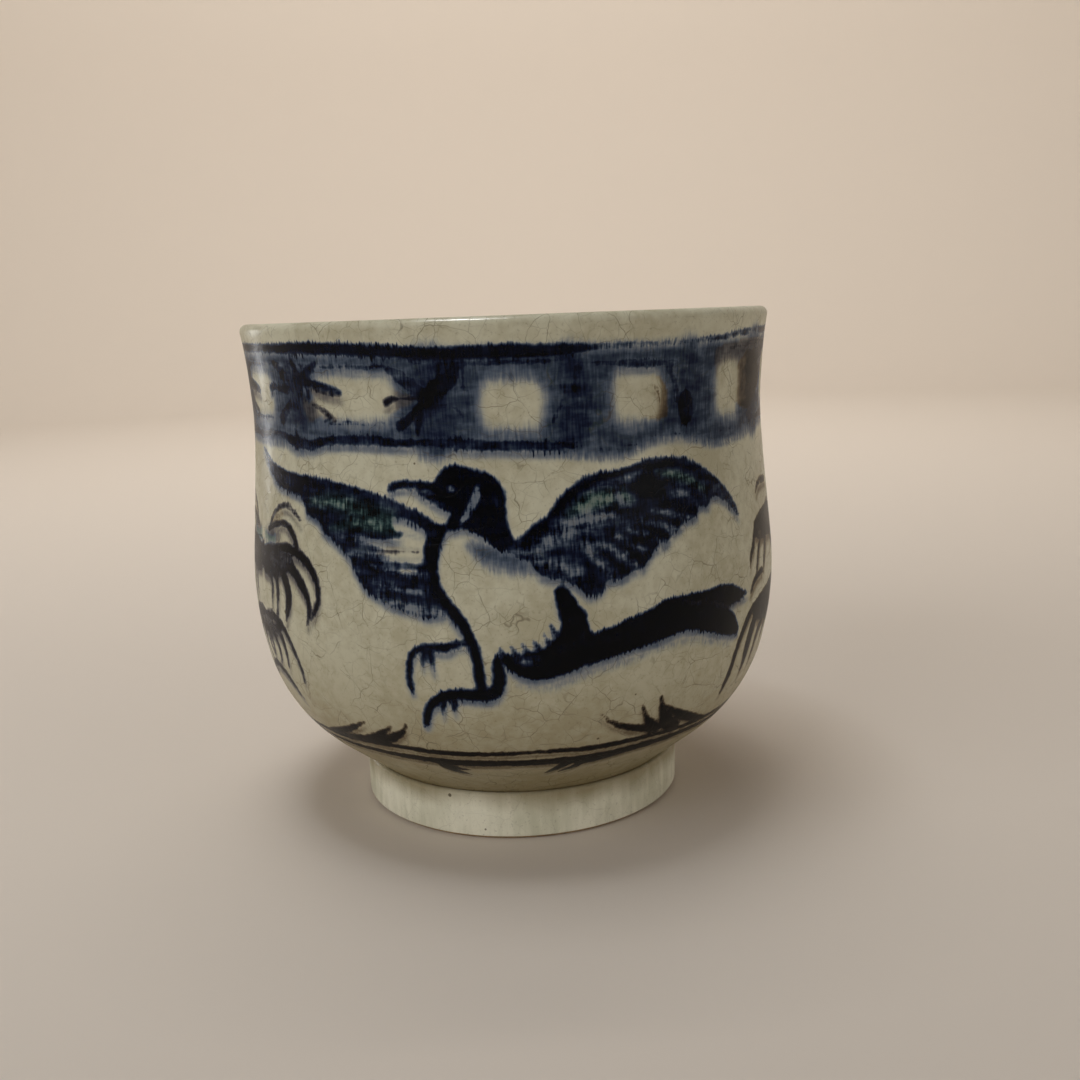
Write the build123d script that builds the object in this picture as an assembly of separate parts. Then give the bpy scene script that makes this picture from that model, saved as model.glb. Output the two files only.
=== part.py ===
"""Teacup: a thrown stoneware bowl on a luted foot ring, with the fired glaze as coats of its own.

Millimetres, +Z up, origin at the centre of the foot's resting face. Every piece is a solid of
revolution about Z. The outside of the wall is a chain of tangent lines and arcs, and every other
line of the wall is that chain moved inwards, so that glaze and clay share their faces.
"""

import os
from math import asin, atan2, cos, degrees, radians, sin

from build123d import *

# Outside of the glazed bowl
HEIGHT = 84.0
RIM_RADIUS = 45.0
BELLY_RADIUS = 45.6
BELLY_HEIGHT = 41.0
BELLY_ARC = 53.0
BELLY_TURN_BELOW = 14.4
BELLY_TURN_ABOVE = 5.3
SHOULDER_LENGTH = 15.0
UNDERSIDE_LENGTH = 9.67

# Clay
WALL = 2.8
FLOOR = 4.5
FLOOR_ROUND = 14.0

# Glaze
GLAZE = 0.35
GLAZE_STOP = 0.5
GLAZE_BEAD = 0.2

# Lip, measured on the glaze
LIP_OUTER_ROUND = 0.8
LIP_INNER_ROUND = 1.6

# Foot ring
FOOT_RADIUS = 28.3
FOOT_HEIGHT = 8.0
FOOT_WIDTH = 4.2
FOOT_LEDGE = 0.7
FOOT_EDGE_ROUND = 0.5
RECESS_ROUND = 1.2

GLAZED_WALL = WALL + 2 * GLAZE
FOOT_OPENING_RADIUS = FOOT_RADIUS - GLAZE - FOOT_WIDTH
CLEAR_ABOVE = 5.0


def unit(lean):
    """The way up the wall in (radius, height), leaning outwards by this many degrees."""
    return Vector(sin(radians(lean)), cos(radians(lean)))


def outward(lean):
    """The wall's outward normal in (radius, height) where the wall leans by this many degrees."""
    return Vector(cos(radians(lean)), -sin(radians(lean)))


# Centres and leans of the outside chain, from the foot's ledge up to the rim
BELLY_CENTRE = Vector(BELLY_RADIUS - BELLY_ARC, BELLY_HEIGHT)
BELLY_FOOT = BELLY_CENTRE + outward(BELLY_TURN_BELOW) * BELLY_ARC
HEEL_START = Vector(FOOT_RADIUS - FOOT_LEDGE, FOOT_HEIGHT)
TO_HEEL_START = HEEL_START - BELLY_FOOT
HEEL_ARC = (TO_HEEL_START.length**2 - UNDERSIDE_LENGTH**2) / (
    -2 * TO_HEEL_START.dot(outward(BELLY_TURN_BELOW))
)
HEEL_CENTRE = BELLY_FOOT - outward(BELLY_TURN_BELOW) * HEEL_ARC
TO_HEEL_CENTRE = HEEL_CENTRE - HEEL_START
HEEL_LEAN = degrees(
    atan2(TO_HEEL_CENTRE.X, TO_HEEL_CENTRE.Y) + atan2(HEEL_ARC, UNDERSIDE_LENGTH)
)
SHOULDER_LEAN = -BELLY_TURN_ABOVE
NECK = BELLY_CENTRE + outward(SHOULDER_LEAN) * BELLY_ARC + unit(SHOULDER_LEAN) * SHOULDER_LENGTH

# The last stretch turns outwards where this arc is positive and inwards where it is negative
NECK_TO_RIM = Vector(RIM_RADIUS, HEIGHT) - NECK
FLARE_ARC = NECK_TO_RIM.length**2 / (2 * NECK_TO_RIM.dot(outward(SHOULDER_LEAN)))
FLARE_CENTRE = NECK + outward(SHOULDER_LEAN) * FLARE_ARC

def arc(centre, radius, first, last):
    """An arc about centre from one bearing to another, in degrees from the radius axis."""
    return CenterArc(centre, radius, first, last - first)


def wall_line(inset, heel_lean, top):
    """The wall's chain moved inwards, from this lean on its heel up to a height, and its end."""
    neck = FLARE_CENTRE - outward(SHOULDER_LEAN) * (FLARE_ARC + inset)
    rim_lean = degrees(asin((top - FLARE_CENTRE.Y) / (FLARE_ARC + inset)))
    rim = FLARE_CENTRE - outward(rim_lean) * (FLARE_ARC + inset)
    heel = arc(HEEL_CENTRE, HEEL_ARC - inset, -heel_lean, -BELLY_TURN_BELOW)
    belly = arc(BELLY_CENTRE, BELLY_ARC - inset, -BELLY_TURN_BELOW, BELLY_TURN_ABOVE)
    shoulder = Line(belly @ 1, neck)
    flare = TangentArc(neck, rim, tangent=unit(SHOULDER_LEAN))
    return [heel, belly, shoulder, flare], rim

def region_inside(inset, bottom, top):
    """The half section inside the wall's outside chain moved inwards, between two heights."""
    chain, rim = wall_line(inset, HEEL_LEAN, top)
    heel_foot = HEEL_CENTRE + outward(HEEL_LEAN) * (HEEL_ARC - inset)
    start = heel_foot + unit(HEEL_LEAN) * ((bottom - heel_foot.Y) / unit(HEEL_LEAN).Y)
    closing = Polyline(rim, (0, rim.Y), (0, bottom), start)
    return make_face([Line(start, heel_foot), *chain, *closing.edges()])

def cavity_region(inset, floor, floor_round):
    """The half section of the hollow, whose floor rounds into the straight underside or the heel."""
    heel_radius = HEEL_ARC - inset
    to_heel = heel_radius - floor_round
    meeting = (HEEL_CENTRE.Y - floor - floor_round) / to_heel
    lean = min(HEEL_LEAN, degrees(asin(min(1, meeting))))
    chain, rim = wall_line(inset, lean, HEIGHT + CLEAR_ABOVE)
    on_normal = HEEL_CENTRE + outward(lean) * to_heel
    centre = on_normal + unit(lean) * ((floor + floor_round - on_normal.Y) / unit(lean).Y)
    stretches = [arc(centre, floor_round, -90, -lean)]
    if lean == HEEL_LEAN:
        heel_foot = HEEL_CENTRE + outward(lean) * heel_radius
        stretches.append(Line(centre + outward(lean) * floor_round, heel_foot))
    closing = Polyline(rim, (0, rim.Y), (0, floor), (centre.X, floor))
    return make_face([*stretches, *chain, *closing.edges()])

def wall_section(outer_inset, inner_inset, floor, floor_round, lip_outer, lip_inner):
    """The half section of the wall and floor between two insets, with its lip rounded."""
    outside = region_inside(outer_inset, FOOT_HEIGHT, HEIGHT - outer_inset)
    section = outside - cavity_region(inner_inset, floor, floor_round)
    inner, outer = section.vertices().group_by(Axis.Y)[-1].sort_by(Axis.X)
    section = fillet(outer, lip_outer)
    inner = section.vertices().sort_by_distance(inner)[0]
    return fillet(inner, lip_inner)

def rectangle(left, right, bottom, top):
    """A rectangle in (radius, height) from its four sides."""
    return Pos(left, bottom) * Rectangle(right - left, top - bottom, align=(Align.MIN, Align.MIN))


def corner(section, radius, height):
    """The section's corner nearest to a place."""
    return section.vertices().sort_by_distance((radius, height, 0))[0]


def spin(section):
    """The solid that a half section sweeps about Z."""
    return revolve(Plane.XZ * section, Axis.Z)


def bowl_sections():
    """The half sections of the bowl's clay and of the glaze outside and inside it."""
    inner_floor = FOOT_HEIGHT + FLOOR
    clay = wall_section(
        GLAZE,
        GLAZED_WALL - GLAZE,
        inner_floor,
        FLOOR_ROUND + GLAZE,
        LIP_OUTER_ROUND - GLAZE,
        LIP_INNER_ROUND - GLAZE,
    )
    glazed = wall_section(
        0, GLAZED_WALL, inner_floor + GLAZE, FLOOR_ROUND, LIP_OUTER_ROUND, LIP_INNER_ROUND
    )
    coats = glazed - clay
    core = region_inside(GLAZED_WALL / 2, FOOT_HEIGHT, HEIGHT + CLEAR_ABOVE)
    return clay, coats - core, coats & core


def foot_sections():
    """The half sections of the foot ring's clay and of the glaze outside it."""
    clay_radius = FOOT_RADIUS - GLAZE
    clay = rectangle(FOOT_OPENING_RADIUS, clay_radius, 0, FOOT_HEIGHT)
    clay = fillet(corner(clay, clay_radius, FOOT_HEIGHT), FOOT_LEDGE)
    clay = fillet(corner(clay, clay_radius, 0), FOOT_EDGE_ROUND)
    clay = fillet(corner(clay, FOOT_OPENING_RADIUS, 0), FOOT_EDGE_ROUND)
    coated = rectangle(FOOT_OPENING_RADIUS, FOOT_RADIUS, GLAZE_STOP, FOOT_HEIGHT)
    coated = fillet(corner(coated, FOOT_RADIUS, FOOT_HEIGHT), FOOT_LEDGE)
    coated = fillet(corner(coated, FOOT_RADIUS, GLAZE_STOP), GLAZE_BEAD)
    return clay, coated - clay


def recess_glaze_section():
    """The half section of the glaze under the bowl and down the inside of the foot ring."""
    bare_radius = FOOT_OPENING_RADIUS - GLAZE
    coat = rectangle(0, FOOT_OPENING_RADIUS, GLAZE_STOP, FOOT_HEIGHT)
    hollow = rectangle(0, bare_radius, 0, FOOT_HEIGHT - GLAZE)
    hollow = fillet(corner(hollow, bare_radius, FOOT_HEIGHT - GLAZE), RECESS_ROUND)
    coat = coat - hollow
    return fillet(corner(coat, bare_radius, GLAZE_STOP), GLAZE_BEAD)


def build():
    """Every piece of the cup by the name of its node."""
    bowl, outer_glaze, inner_glaze = bowl_sections()
    foot_ring, foot_glaze = foot_sections()
    sections = {
        "bowl": bowl,
        "foot_ring": foot_ring,
        "outer_glaze": outer_glaze,
        "inner_glaze": inner_glaze,
        "foot_glaze": foot_glaze,
        "recess_glaze": recess_glaze_section(),
    }
    return {name: spin(section) for name, section in sections.items()}


os.makedirs("parts", exist_ok=True)
for node, solid in build().items():
    export_step(solid, f"parts/{node}.step")
    print(f"{node}: {solid.volume / 1000:.2f} cm3")
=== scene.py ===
"""A handleless teacup: coats of crackled glaze over a cobalt painting, on a bare-footed clay body.

Every coat and the foot are turned about Z by one Geometry Nodes tree, from half sections that
follow the same tangent lines and arcs as the frame's nodes. The painting is laid out in
millimetres on the unrolled wall, one stroke of the brush after another, and reaches the glaze as
attributes of its mesh: how far the nearest stroke's edge is, how much pigment it left, and which.
"""

import logging
from dataclasses import astuple, dataclass, field, replace
from enum import Enum
from functools import partial
from math import asin, atan2, cos, hypot, pi, radians, sin

import bmesh
import bpy
import numpy as np
from bpy.types import Material, Mesh, Node, NodeSocket, NodeTree, Object
from mathutils import Matrix, Vector


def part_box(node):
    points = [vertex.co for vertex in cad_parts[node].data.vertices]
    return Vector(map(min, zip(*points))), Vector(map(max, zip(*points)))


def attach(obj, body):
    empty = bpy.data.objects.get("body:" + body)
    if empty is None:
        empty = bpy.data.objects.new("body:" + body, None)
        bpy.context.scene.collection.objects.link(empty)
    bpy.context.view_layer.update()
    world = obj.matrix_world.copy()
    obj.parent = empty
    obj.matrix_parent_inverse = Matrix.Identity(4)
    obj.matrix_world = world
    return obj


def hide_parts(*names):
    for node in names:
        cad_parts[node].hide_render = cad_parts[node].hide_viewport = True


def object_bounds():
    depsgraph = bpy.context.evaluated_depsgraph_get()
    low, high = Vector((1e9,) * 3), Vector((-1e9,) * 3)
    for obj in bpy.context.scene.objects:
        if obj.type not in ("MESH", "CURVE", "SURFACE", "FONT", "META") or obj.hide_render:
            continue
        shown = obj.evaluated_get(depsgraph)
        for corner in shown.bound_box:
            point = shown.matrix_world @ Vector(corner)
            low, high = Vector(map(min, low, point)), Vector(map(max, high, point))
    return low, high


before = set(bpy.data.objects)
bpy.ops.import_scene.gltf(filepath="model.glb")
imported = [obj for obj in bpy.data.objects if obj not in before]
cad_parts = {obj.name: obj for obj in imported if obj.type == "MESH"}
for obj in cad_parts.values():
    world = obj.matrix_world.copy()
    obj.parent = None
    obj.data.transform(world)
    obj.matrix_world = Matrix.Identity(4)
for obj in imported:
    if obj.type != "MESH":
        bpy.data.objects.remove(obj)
CAD_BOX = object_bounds()

MM = 0.001
BODY = "root"
log = logging.getLogger("teacup")

# The node kinds, settings and sockets that come up most.
MATH = "ShaderNodeMath"
VECTOR = "ShaderNodeVectorMath"
NOISE = "ShaderNodeTexNoise"
RANGE = "ShaderNodeMapRange"
MIX = "ShaderNodeMix"
RAMP = "ShaderNodeValToRGB"
PLUS = {"operation": "ADD"}
MINUS = {"operation": "SUBTRACT"}
TIMES = {"operation": "MULTIPLY"}
TIMES_PLUS = {"operation": "MULTIPLY_ADD"}
OVER = {"operation": "DIVIDE"}
LARGER = {"operation": "MAXIMUM"}
SMALLER = {"operation": "MINIMUM"}
SCALED = {"operation": "SCALE"}
SINE = {"operation": "SINE"}
COSINE = {"operation": "COSINE"}
SMOOTH = {"interpolation_type": "SMOOTHSTEP"}
UNCLAMPED = {"clamp": False}
COLOURS = {"data_type": "RGBA"}
NUMBERS = {"data_type": "FLOAT"}
COLOUR_A = 6
COLOUR_B = 7


def linear(code: str) -> tuple[float, float, float, float]:
    """Turns an sRGB colour into the linear one that shaders take.

    Args:
        code: the colour as six hex digits.

    Returns:
        Red, green, blue and an alpha of one.
    """
    parts = [int(code[i : i + 2], 16) / 255 for i in (0, 2, 4)]
    red, green, blue = [p / 12.92 if p <= 0.04045 else ((p + 0.055) / 1.055) ** 2.4 for p in parts]
    return red, green, blue, 1.0


def per_feature(size: float) -> float:
    """The scale at which a texture's features are about this many metres across."""
    return 1 / size


def add_node(
    tree: NodeTree, kind: str, settings: dict | None = None, inputs: dict | None = None
) -> Node:
    """Adds a node with its settings, and fills or links its inputs.

    Args:
        tree: the node tree that takes the node.
        kind: the node's type name.
        settings: properties of the node by name, and a colour ramp's stops as (place, hex) pairs.
        inputs: a value, a socket or a node for each input, by name or by place. A node gives its
            first output that is in use.

    Returns:
        The new node.
    """
    node = tree.nodes.new(kind)
    for name, value in (settings or {}).items():
        if name != "stops":
            setattr(node, name, value)
            continue
        while len(node.color_ramp.elements) < len(value):
            node.color_ramp.elements.new(1.0)
        for element, (place, code) in zip(node.color_ramp.elements, value):
            element.position = place
            element.color = linear(code)
    for key, value in (inputs or {}).items():
        if isinstance(value, Node):
            value = next(output for output in value.outputs if output.enabled)
        if isinstance(value, NodeSocket):
            tree.links.new(value, node.inputs[key])
        else:
            node.inputs[key].default_value = value
    return node


# Shapes: half sections and the tree that turns them


def unit(lean: float) -> np.ndarray:
    """The way up the wall in (radius, height), leaning outwards by this many radians."""
    return np.array((sin(lean), cos(lean)))


def outward(lean: float) -> np.ndarray:
    """The wall's outward normal in (radius, height) where it leans by this many radians."""
    return np.array((cos(lean), -sin(lean)))


ARC_STEP = radians(0.5)
FEWEST_STEPS = 8


def arc_points(centre: np.ndarray, radius: float, first: float, last: float) -> np.ndarray:
    """Points along an arc, close enough together to be resampled.

    Args:
        centre: the arc's centre in (radius, height).
        radius: its radius.
        first: the bearing of its start from the radius axis, in radians.
        last: the bearing of its end.

    Returns:
        The points, one a row.
    """
    steps = max(FEWEST_STEPS, int(abs(last - first) / ARC_STEP))
    turn = np.linspace(first, last, steps)
    return centre + radius * np.stack((np.cos(turn), np.sin(turn)), 1)


def respaced(points: np.ndarray, spacing: float) -> np.ndarray:
    """Spaces a line's points evenly.

    Args:
        points: the line, one point a row.
        spacing: about how far apart they end up.

    Returns:
        The same line with new points.
    """
    along = np.concatenate(([0.0], np.cumsum(np.hypot(*np.diff(points, axis=0).T))))
    stations = np.linspace(0, along[-1], max(2, round(along[-1] / spacing) + 1))
    return np.stack([np.interp(stations, along, points[:, i]) for i in (0, 1)], 1)


def rounded(before: np.ndarray, after: np.ndarray, radius: float, steps: int = 7) -> np.ndarray:
    """Joins two lines that meet at a corner, with the corner rounded.

    Args:
        before: the line that ends at the corner, one point a row.
        after: the line that starts at the corner.
        radius: the radius of the round.
        steps: how many points the round has.

    Returns:
        The joined line.
    """
    corner = before[-1]
    back = before[-2] - corner
    ahead = after[1] - corner
    back = back / hypot(*back)
    ahead = ahead / hypot(*ahead)
    half = np.arccos(np.clip(back @ ahead, -1, 1)) / 2
    trim = radius / np.tan(half)
    bisector = (back + ahead) / hypot(*(back + ahead))
    centre = corner + bisector * radius / sin(half)
    start = corner + back * trim - centre
    end = corner + ahead * trim - centre
    first = atan2(start[1], start[0])
    sweep = (atan2(end[1], end[0]) - first + pi) % (2 * pi) - pi
    turn = first + np.linspace(0, sweep, steps)
    arc = centre + radius * np.stack((np.cos(turn), np.sin(turn)), 1)
    kept_before = before[np.hypot(*(before - corner).T) > trim]
    kept_after = after[np.hypot(*(after - corner).T) > trim]
    return np.concatenate((kept_before, arc, kept_after))


@dataclass(frozen=True)
class Wall:
    """The outside of the glazed wall, and lines parallel to it inside the wall."""

    height: float
    belly_radius: float
    foot_height: float
    foot_top_radius: float
    rim_radius: float = 45.0 * MM
    belly_height: float = 41.0 * MM
    belly_arc: float = 53.0 * MM
    turn_below: float = radians(14.4)
    turn_above: float = radians(5.3)
    shoulder: float = 15.0 * MM
    underside: float = 9.67 * MM
    clay: float = 2.8 * MM
    glaze: float = 0.35 * MM
    floor: float = 4.5 * MM
    floor_round: float = 14.0 * MM
    floor_steps: int = 40
    # Rounder than the frame's lip and inside it, so that its glint shows.
    lip_outer: float = 1.2 * MM
    lip_inner: float = 1.6 * MM

    @property
    def thickness(self) -> float:
        """Clay and both coats."""
        return self.clay + 2 * self.glaze

    def line(self, inset: float, bottom: float, top: float) -> np.ndarray:
        """Follows the wall upwards, this far inside its outside.

        Args:
            inset: how far inside, in metres.
            bottom: the height where the line starts.
            top: the height where it ends.

        Returns:
            The line's points in (radius, height).
        """
        belly = np.array((self.belly_radius - self.belly_arc, self.belly_height))
        belly_foot = belly + outward(self.turn_below) * self.belly_arc
        to_start = np.array((self.foot_top_radius, self.foot_height)) - belly_foot
        across = -2 * to_start @ outward(self.turn_below)
        heel_arc = (to_start @ to_start - self.underside**2) / across
        heel = belly_foot - outward(self.turn_below) * heel_arc
        rise = heel - belly_foot - to_start
        lean = atan2(rise[0], rise[1]) + atan2(heel_arc, self.underside)
        neck = belly + outward(-self.turn_above) * self.belly_arc
        neck = neck + unit(-self.turn_above) * self.shoulder
        to_rim = np.array((self.rim_radius, self.height)) - neck
        flare_arc = to_rim @ to_rim / (2 * to_rim @ outward(-self.turn_above))
        flare = neck + outward(-self.turn_above) * flare_arc
        rim_lean = asin((top - flare[1]) / (flare_arc + inset))
        heel_foot = heel + outward(lean) * (heel_arc - inset)
        start = heel_foot + unit(lean) * (bottom - heel_foot[1]) / unit(lean)[1]
        return np.concatenate(
            (
                start[None],
                arc_points(heel, heel_arc - inset, -lean, -self.turn_below),
                arc_points(belly, self.belly_arc - inset, -self.turn_below, self.turn_above),
                arc_points(flare, flare_arc + inset, pi + self.turn_above, pi - rim_lean),
            )
        )

    def outer_section(self, spacing: float, hidden_spacing: float) -> np.ndarray:
        """The closed half section of the coat outside the bowl.

        Args:
            spacing: the distance between points where the coat shows.
            hidden_spacing: the distance between points against the clay.

        Returns:
            The section's points, with the first one again at the end.
        """
        outside = respaced(self.line(0, self.foot_height, self.height), spacing)
        middle = self.line(self.thickness / 2, self.foot_height, self.height)[-1]
        lip = respaced(np.array((outside[-1], middle)), spacing)
        shown = rounded(outside, lip, self.lip_outer)
        clay_line = self.line(self.glaze, self.foot_height, self.height - self.glaze)
        inside = respaced(clay_line, hidden_spacing)
        under = np.array((middle[0], self.height - self.glaze))
        hidden = rounded(inside, np.array((inside[-1], under)), self.lip_outer - self.glaze)
        return np.concatenate((shown, hidden[::-1], shown[:1]))

    def inner_section(self, spacing: float, hidden_spacing: float) -> np.ndarray:
        """The half section of the coat inside the bowl, from the axis round to the axis.

        Args:
            spacing: the distance between points where the coat shows.
            hidden_spacing: the distance between points against the clay.

        Returns:
            The section's points.
        """
        sides = []
        for inset, drop, step in (
            (self.thickness, 0.0, spacing),
            (self.thickness - self.glaze, self.glaze, hidden_spacing),
        ):
            floor = self.foot_height + self.floor + self.glaze - drop
            side = self.line(inset, floor, self.height - drop)
            across = np.array(((0.0, floor), side[0]))
            side = rounded(across, side, self.floor_round + drop, self.floor_steps)
            side = respaced(side, step)
            middle = np.array((self.line(self.thickness / 2, floor, self.height)[-1][0], side[-1][1]))
            lip = respaced(np.array((side[-1], middle)), spacing)
            sides.append(rounded(side, lip, self.lip_inner - drop))
        return np.concatenate((sides[0], sides[1][::-1]))


@dataclass(frozen=True)
class Foot:
    """The foot ring and the coats outside and inside it."""

    radius: float
    height: float
    opening: float
    glaze_stop: float
    glaze: float = 0.35 * MM
    ledge: float = 0.7 * MM
    edge: float = 0.5 * MM
    bead: float = 0.2 * MM
    recess_round: float = 1.2 * MM

    def corner_path(self, corners: list[tuple[float, float, float]], spacing: float) -> np.ndarray:
        """A line through corners, each rounded by its own radius.

        Args:
            corners: radius, height and round for each corner; the ends' rounds are zero.
            spacing: the distance between points.

        Returns:
            The line's points.
        """
        places = np.array([c[:2] for c in corners])
        path = respaced(places[:2], spacing)
        for place, following, corner in zip(places[1:], places[2:], corners[1:]):
            ahead = respaced(np.array((place, following)), spacing)
            path = rounded(path, ahead, corner[2]) if corner[2] else np.concatenate((path, ahead[1:]))
        return path

    def ring_section(self, spacing: float) -> np.ndarray:
        """The closed half section of the clay ring.

        Args:
            spacing: the distance between points.

        Returns:
            The section's points.
        """
        outer = self.radius - self.glaze
        corners = [
            (self.opening, self.height, 0.0),
            (self.opening, 0.0, self.edge),
            (outer, 0.0, self.edge),
            (outer, self.height, self.ledge),
            (self.opening, self.height, 0.0),
        ]
        return self.corner_path(corners, spacing)

    def outer_section(self, spacing: float) -> np.ndarray:
        """The closed half section of the coat outside the ring.

        Args:
            spacing: the distance between points.

        Returns:
            The section's points.
        """
        inner = self.radius - self.glaze
        top = (self.radius - self.ledge, self.height, 0.0)
        shown = self.corner_path(
            [
                (inner, self.glaze_stop, 0.0),
                (self.radius, self.glaze_stop, self.bead),
                (self.radius, self.height, self.ledge),
                top,
            ],
            spacing,
        )
        hidden = self.corner_path(
            [top, (inner, self.height, self.ledge - self.glaze), (inner, self.glaze_stop, 0.0)],
            spacing,
        )
        return np.concatenate((shown, hidden[1:]))

    def recess_section(self, spacing: float) -> np.ndarray:
        """The half section of the coat under the bowl and inside the ring, from axis to axis.

        Args:
            spacing: the distance between points.

        Returns:
            The section's points.
        """
        bare = self.opening - self.glaze
        corners = [
            (0.0, self.height - self.glaze, 0.0),
            (bare, self.height - self.glaze, self.recess_round),
            (bare, self.glaze_stop, self.bead / 2),
            (self.opening, self.glaze_stop, 0.0),
            (self.opening, self.height, 0.0),
            (0.0, self.height, 0.0),
        ]
        return self.corner_path(corners, spacing)


@dataclass(frozen=True)
class Throwing:
    """How unevenly the wheel and the hand left a wall. It only ever lies inside the true shape.

    The fields stand in the order of the turning tree's inputs.
    """

    ring_depth: float = 0.10 * MM
    ring_pitch: float = 6.5 * MM
    sway: float = 0.12 * MM
    sway_size: float = 24.0 * MM
    seed: int = 3


class TurningTree:
    """The Geometry Nodes tree that turns a half section about Z into a closed body."""

    NAME = "turned_body"
    WELD = 2e-6
    NEAR_AXIS = 5.0 * MM
    SHARP = radians(40)
    INPUTS = (
        ("Section", "NodeSocketGeometry"),
        ("Columns", "NodeSocketInt"),
        ("Crowding", "NodeSocketFloat"),
        ("Ring Depth", "NodeSocketFloat"),
        ("Ring Pitch", "NodeSocketFloat"),
        ("Sway", "NodeSocketFloat"),
        ("Sway Size", "NodeSocketFloat"),
        ("Seed", "NodeSocketInt"),
        ("Material", "NodeSocketMaterial"),
    )

    def __init__(self) -> None:
        """Builds the tree, with its inputs by name."""
        self.tree = bpy.data.node_groups.new(self.NAME, "GeometryNodeTree")
        for name, kind in self.INPUTS:
            self.tree.interface.new_socket(name, in_out="INPUT", socket_type=kind)
        self.tree.interface.new_socket("Body", in_out="OUTPUT", socket_type="NodeSocketGeometry")
        self.given = add_node(self.tree, "NodeGroupInput").outputs
        uneven = self.press_in(self.sweep())
        smooth = add_node(self.tree, "GeometryNodeSetShadeSmooth", {}, {0: uneven})
        real = add_node(self.tree, "GeometryNodeRealizeInstances", {}, {0: smooth})
        dressed = add_node(
            self.tree, "GeometryNodeSetMaterial", {}, {"Geometry": real, "Material": self.given["Material"]}
        )
        add_node(self.tree, "NodeGroupOutput", {}, {"Body": dressed})

    def sweep(self) -> Node:
        """Bends a grid into the turned body: its rows are the section's points.

        Returns:
            The node that gives the welded body.
        """
        tree = self.tree
        section = self.given["Section"]
        size = add_node(tree, "GeometryNodeAttributeDomainSize", {"component": "MESH"}, {0: section})
        rows = size.outputs["Point Count"]
        columns = add_node(tree, MATH, PLUS, {0: self.given["Columns"], 1: 1.0})
        grid = add_node(
            tree, "GeometryNodeMeshGrid", {},
            {"Size X": 1.0, "Size Y": 1.0, "Vertices X": columns, "Vertices Y": rows}
        )
        position = add_node(tree, "GeometryNodeInputPosition")
        place = add_node(tree, "ShaderNodeSeparateXYZ", {}, {0: position}).outputs
        even = add_node(tree, MATH, TIMES, {0: place["X"], 1: 2 * pi})
        sway = add_node(tree, MATH, SINE, {0: even})
        slack = add_node(tree, MATH, TIMES, {0: sway, 1: self.given["Crowding"]})
        turn = add_node(tree, MATH, MINUS, {0: even, 1: slack})
        last = add_node(tree, MATH, MINUS, {0: rows, 1: 1.0})
        share = add_node(tree, MATH, PLUS, {0: place["Y"], 1: 0.5})
        row = add_node(tree, MATH, TIMES, {0: share, 1: last})
        index = add_node(tree, MATH, {"operation": "ROUND"}, {0: row})
        on_section = add_node(
            tree, "GeometryNodeSampleIndex", {"data_type": "FLOAT_VECTOR"},
            {"Geometry": section, "Value": position, "Index": index}
        )
        point = add_node(tree, "ShaderNodeSeparateXYZ", {}, {0: on_section}).outputs
        sine = add_node(tree, MATH, SINE, {0: turn})
        cosine = add_node(tree, MATH, COSINE, {0: turn})
        right = add_node(tree, MATH, TIMES, {0: sine, 1: point["X"]})
        front = add_node(tree, MATH, TIMES, {0: cosine, 1: point["X"]})
        back = add_node(tree, MATH, TIMES, {0: front, 1: -1.0})
        bent = add_node(tree, "ShaderNodeCombineXYZ", {}, {"X": right, "Y": back, "Z": point["Z"]})
        moved = add_node(tree, "GeometryNodeSetPosition", {}, {"Geometry": grid, "Position": bent})
        return add_node(tree, "GeometryNodeMergeByDistance", {}, {"Geometry": moved, "Distance": self.WELD})

    def press_in(self, body: Node) -> Node:
        """Presses throwing rings and a slow sway into the body, towards the axis.

        Args:
            body: the node that gives the true shape.

        Returns:
            The node that gives the uneven one.
        """
        tree, given = self.tree, self.given
        position = add_node(tree, "GeometryNodeInputPosition")
        place = add_node(tree, "ShaderNodeSeparateXYZ", {}, {0: position}).outputs
        height = add_node(tree, MATH, OVER, {0: place["Z"], 1: given["Ring Pitch"]})
        level = add_node(tree, MATH, PLUS, {0: height, 1: given["Seed"]})
        rings = add_node(tree, NOISE, {"noise_dimensions": "1D"}, {"W": level, "Scale": 1.0, "Detail": 1.0})
        slowness = add_node(tree, MATH, OVER, {0: 1.0, 1: given["Sway Size"]})
        slow = add_node(
            tree, NOISE, {"noise_dimensions": "4D"},
            {"Vector": position, "W": given["Seed"], "Scale": slowness, "Detail": 1.0}
        )
        ring_depth = add_node(tree, MATH, TIMES, {0: rings, 1: given["Ring Depth"]})
        sway_depth = add_node(tree, MATH, TIMES, {0: slow, 1: given["Sway"]})
        depth = add_node(tree, MATH, PLUS, {0: ring_depth, 1: sway_depth})
        flat = add_node(tree, "ShaderNodeCombineXYZ", {}, {"X": place["X"], "Y": place["Y"]})
        reach = add_node(tree, VECTOR, {"operation": "LENGTH"}, {0: flat})
        divisor = add_node(tree, MATH, LARGER, {0: reach, 1: self.NEAR_AXIS})
        share = add_node(tree, MATH, OVER, {0: depth, 1: divisor})
        against = add_node(tree, MATH, TIMES, {0: share, 1: -1.0})
        inwards = add_node(tree, VECTOR, SCALED, {0: flat, "Scale": against})
        return add_node(tree, "GeometryNodeSetPosition", {}, {"Geometry": body, "Offset": inwards})

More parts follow.
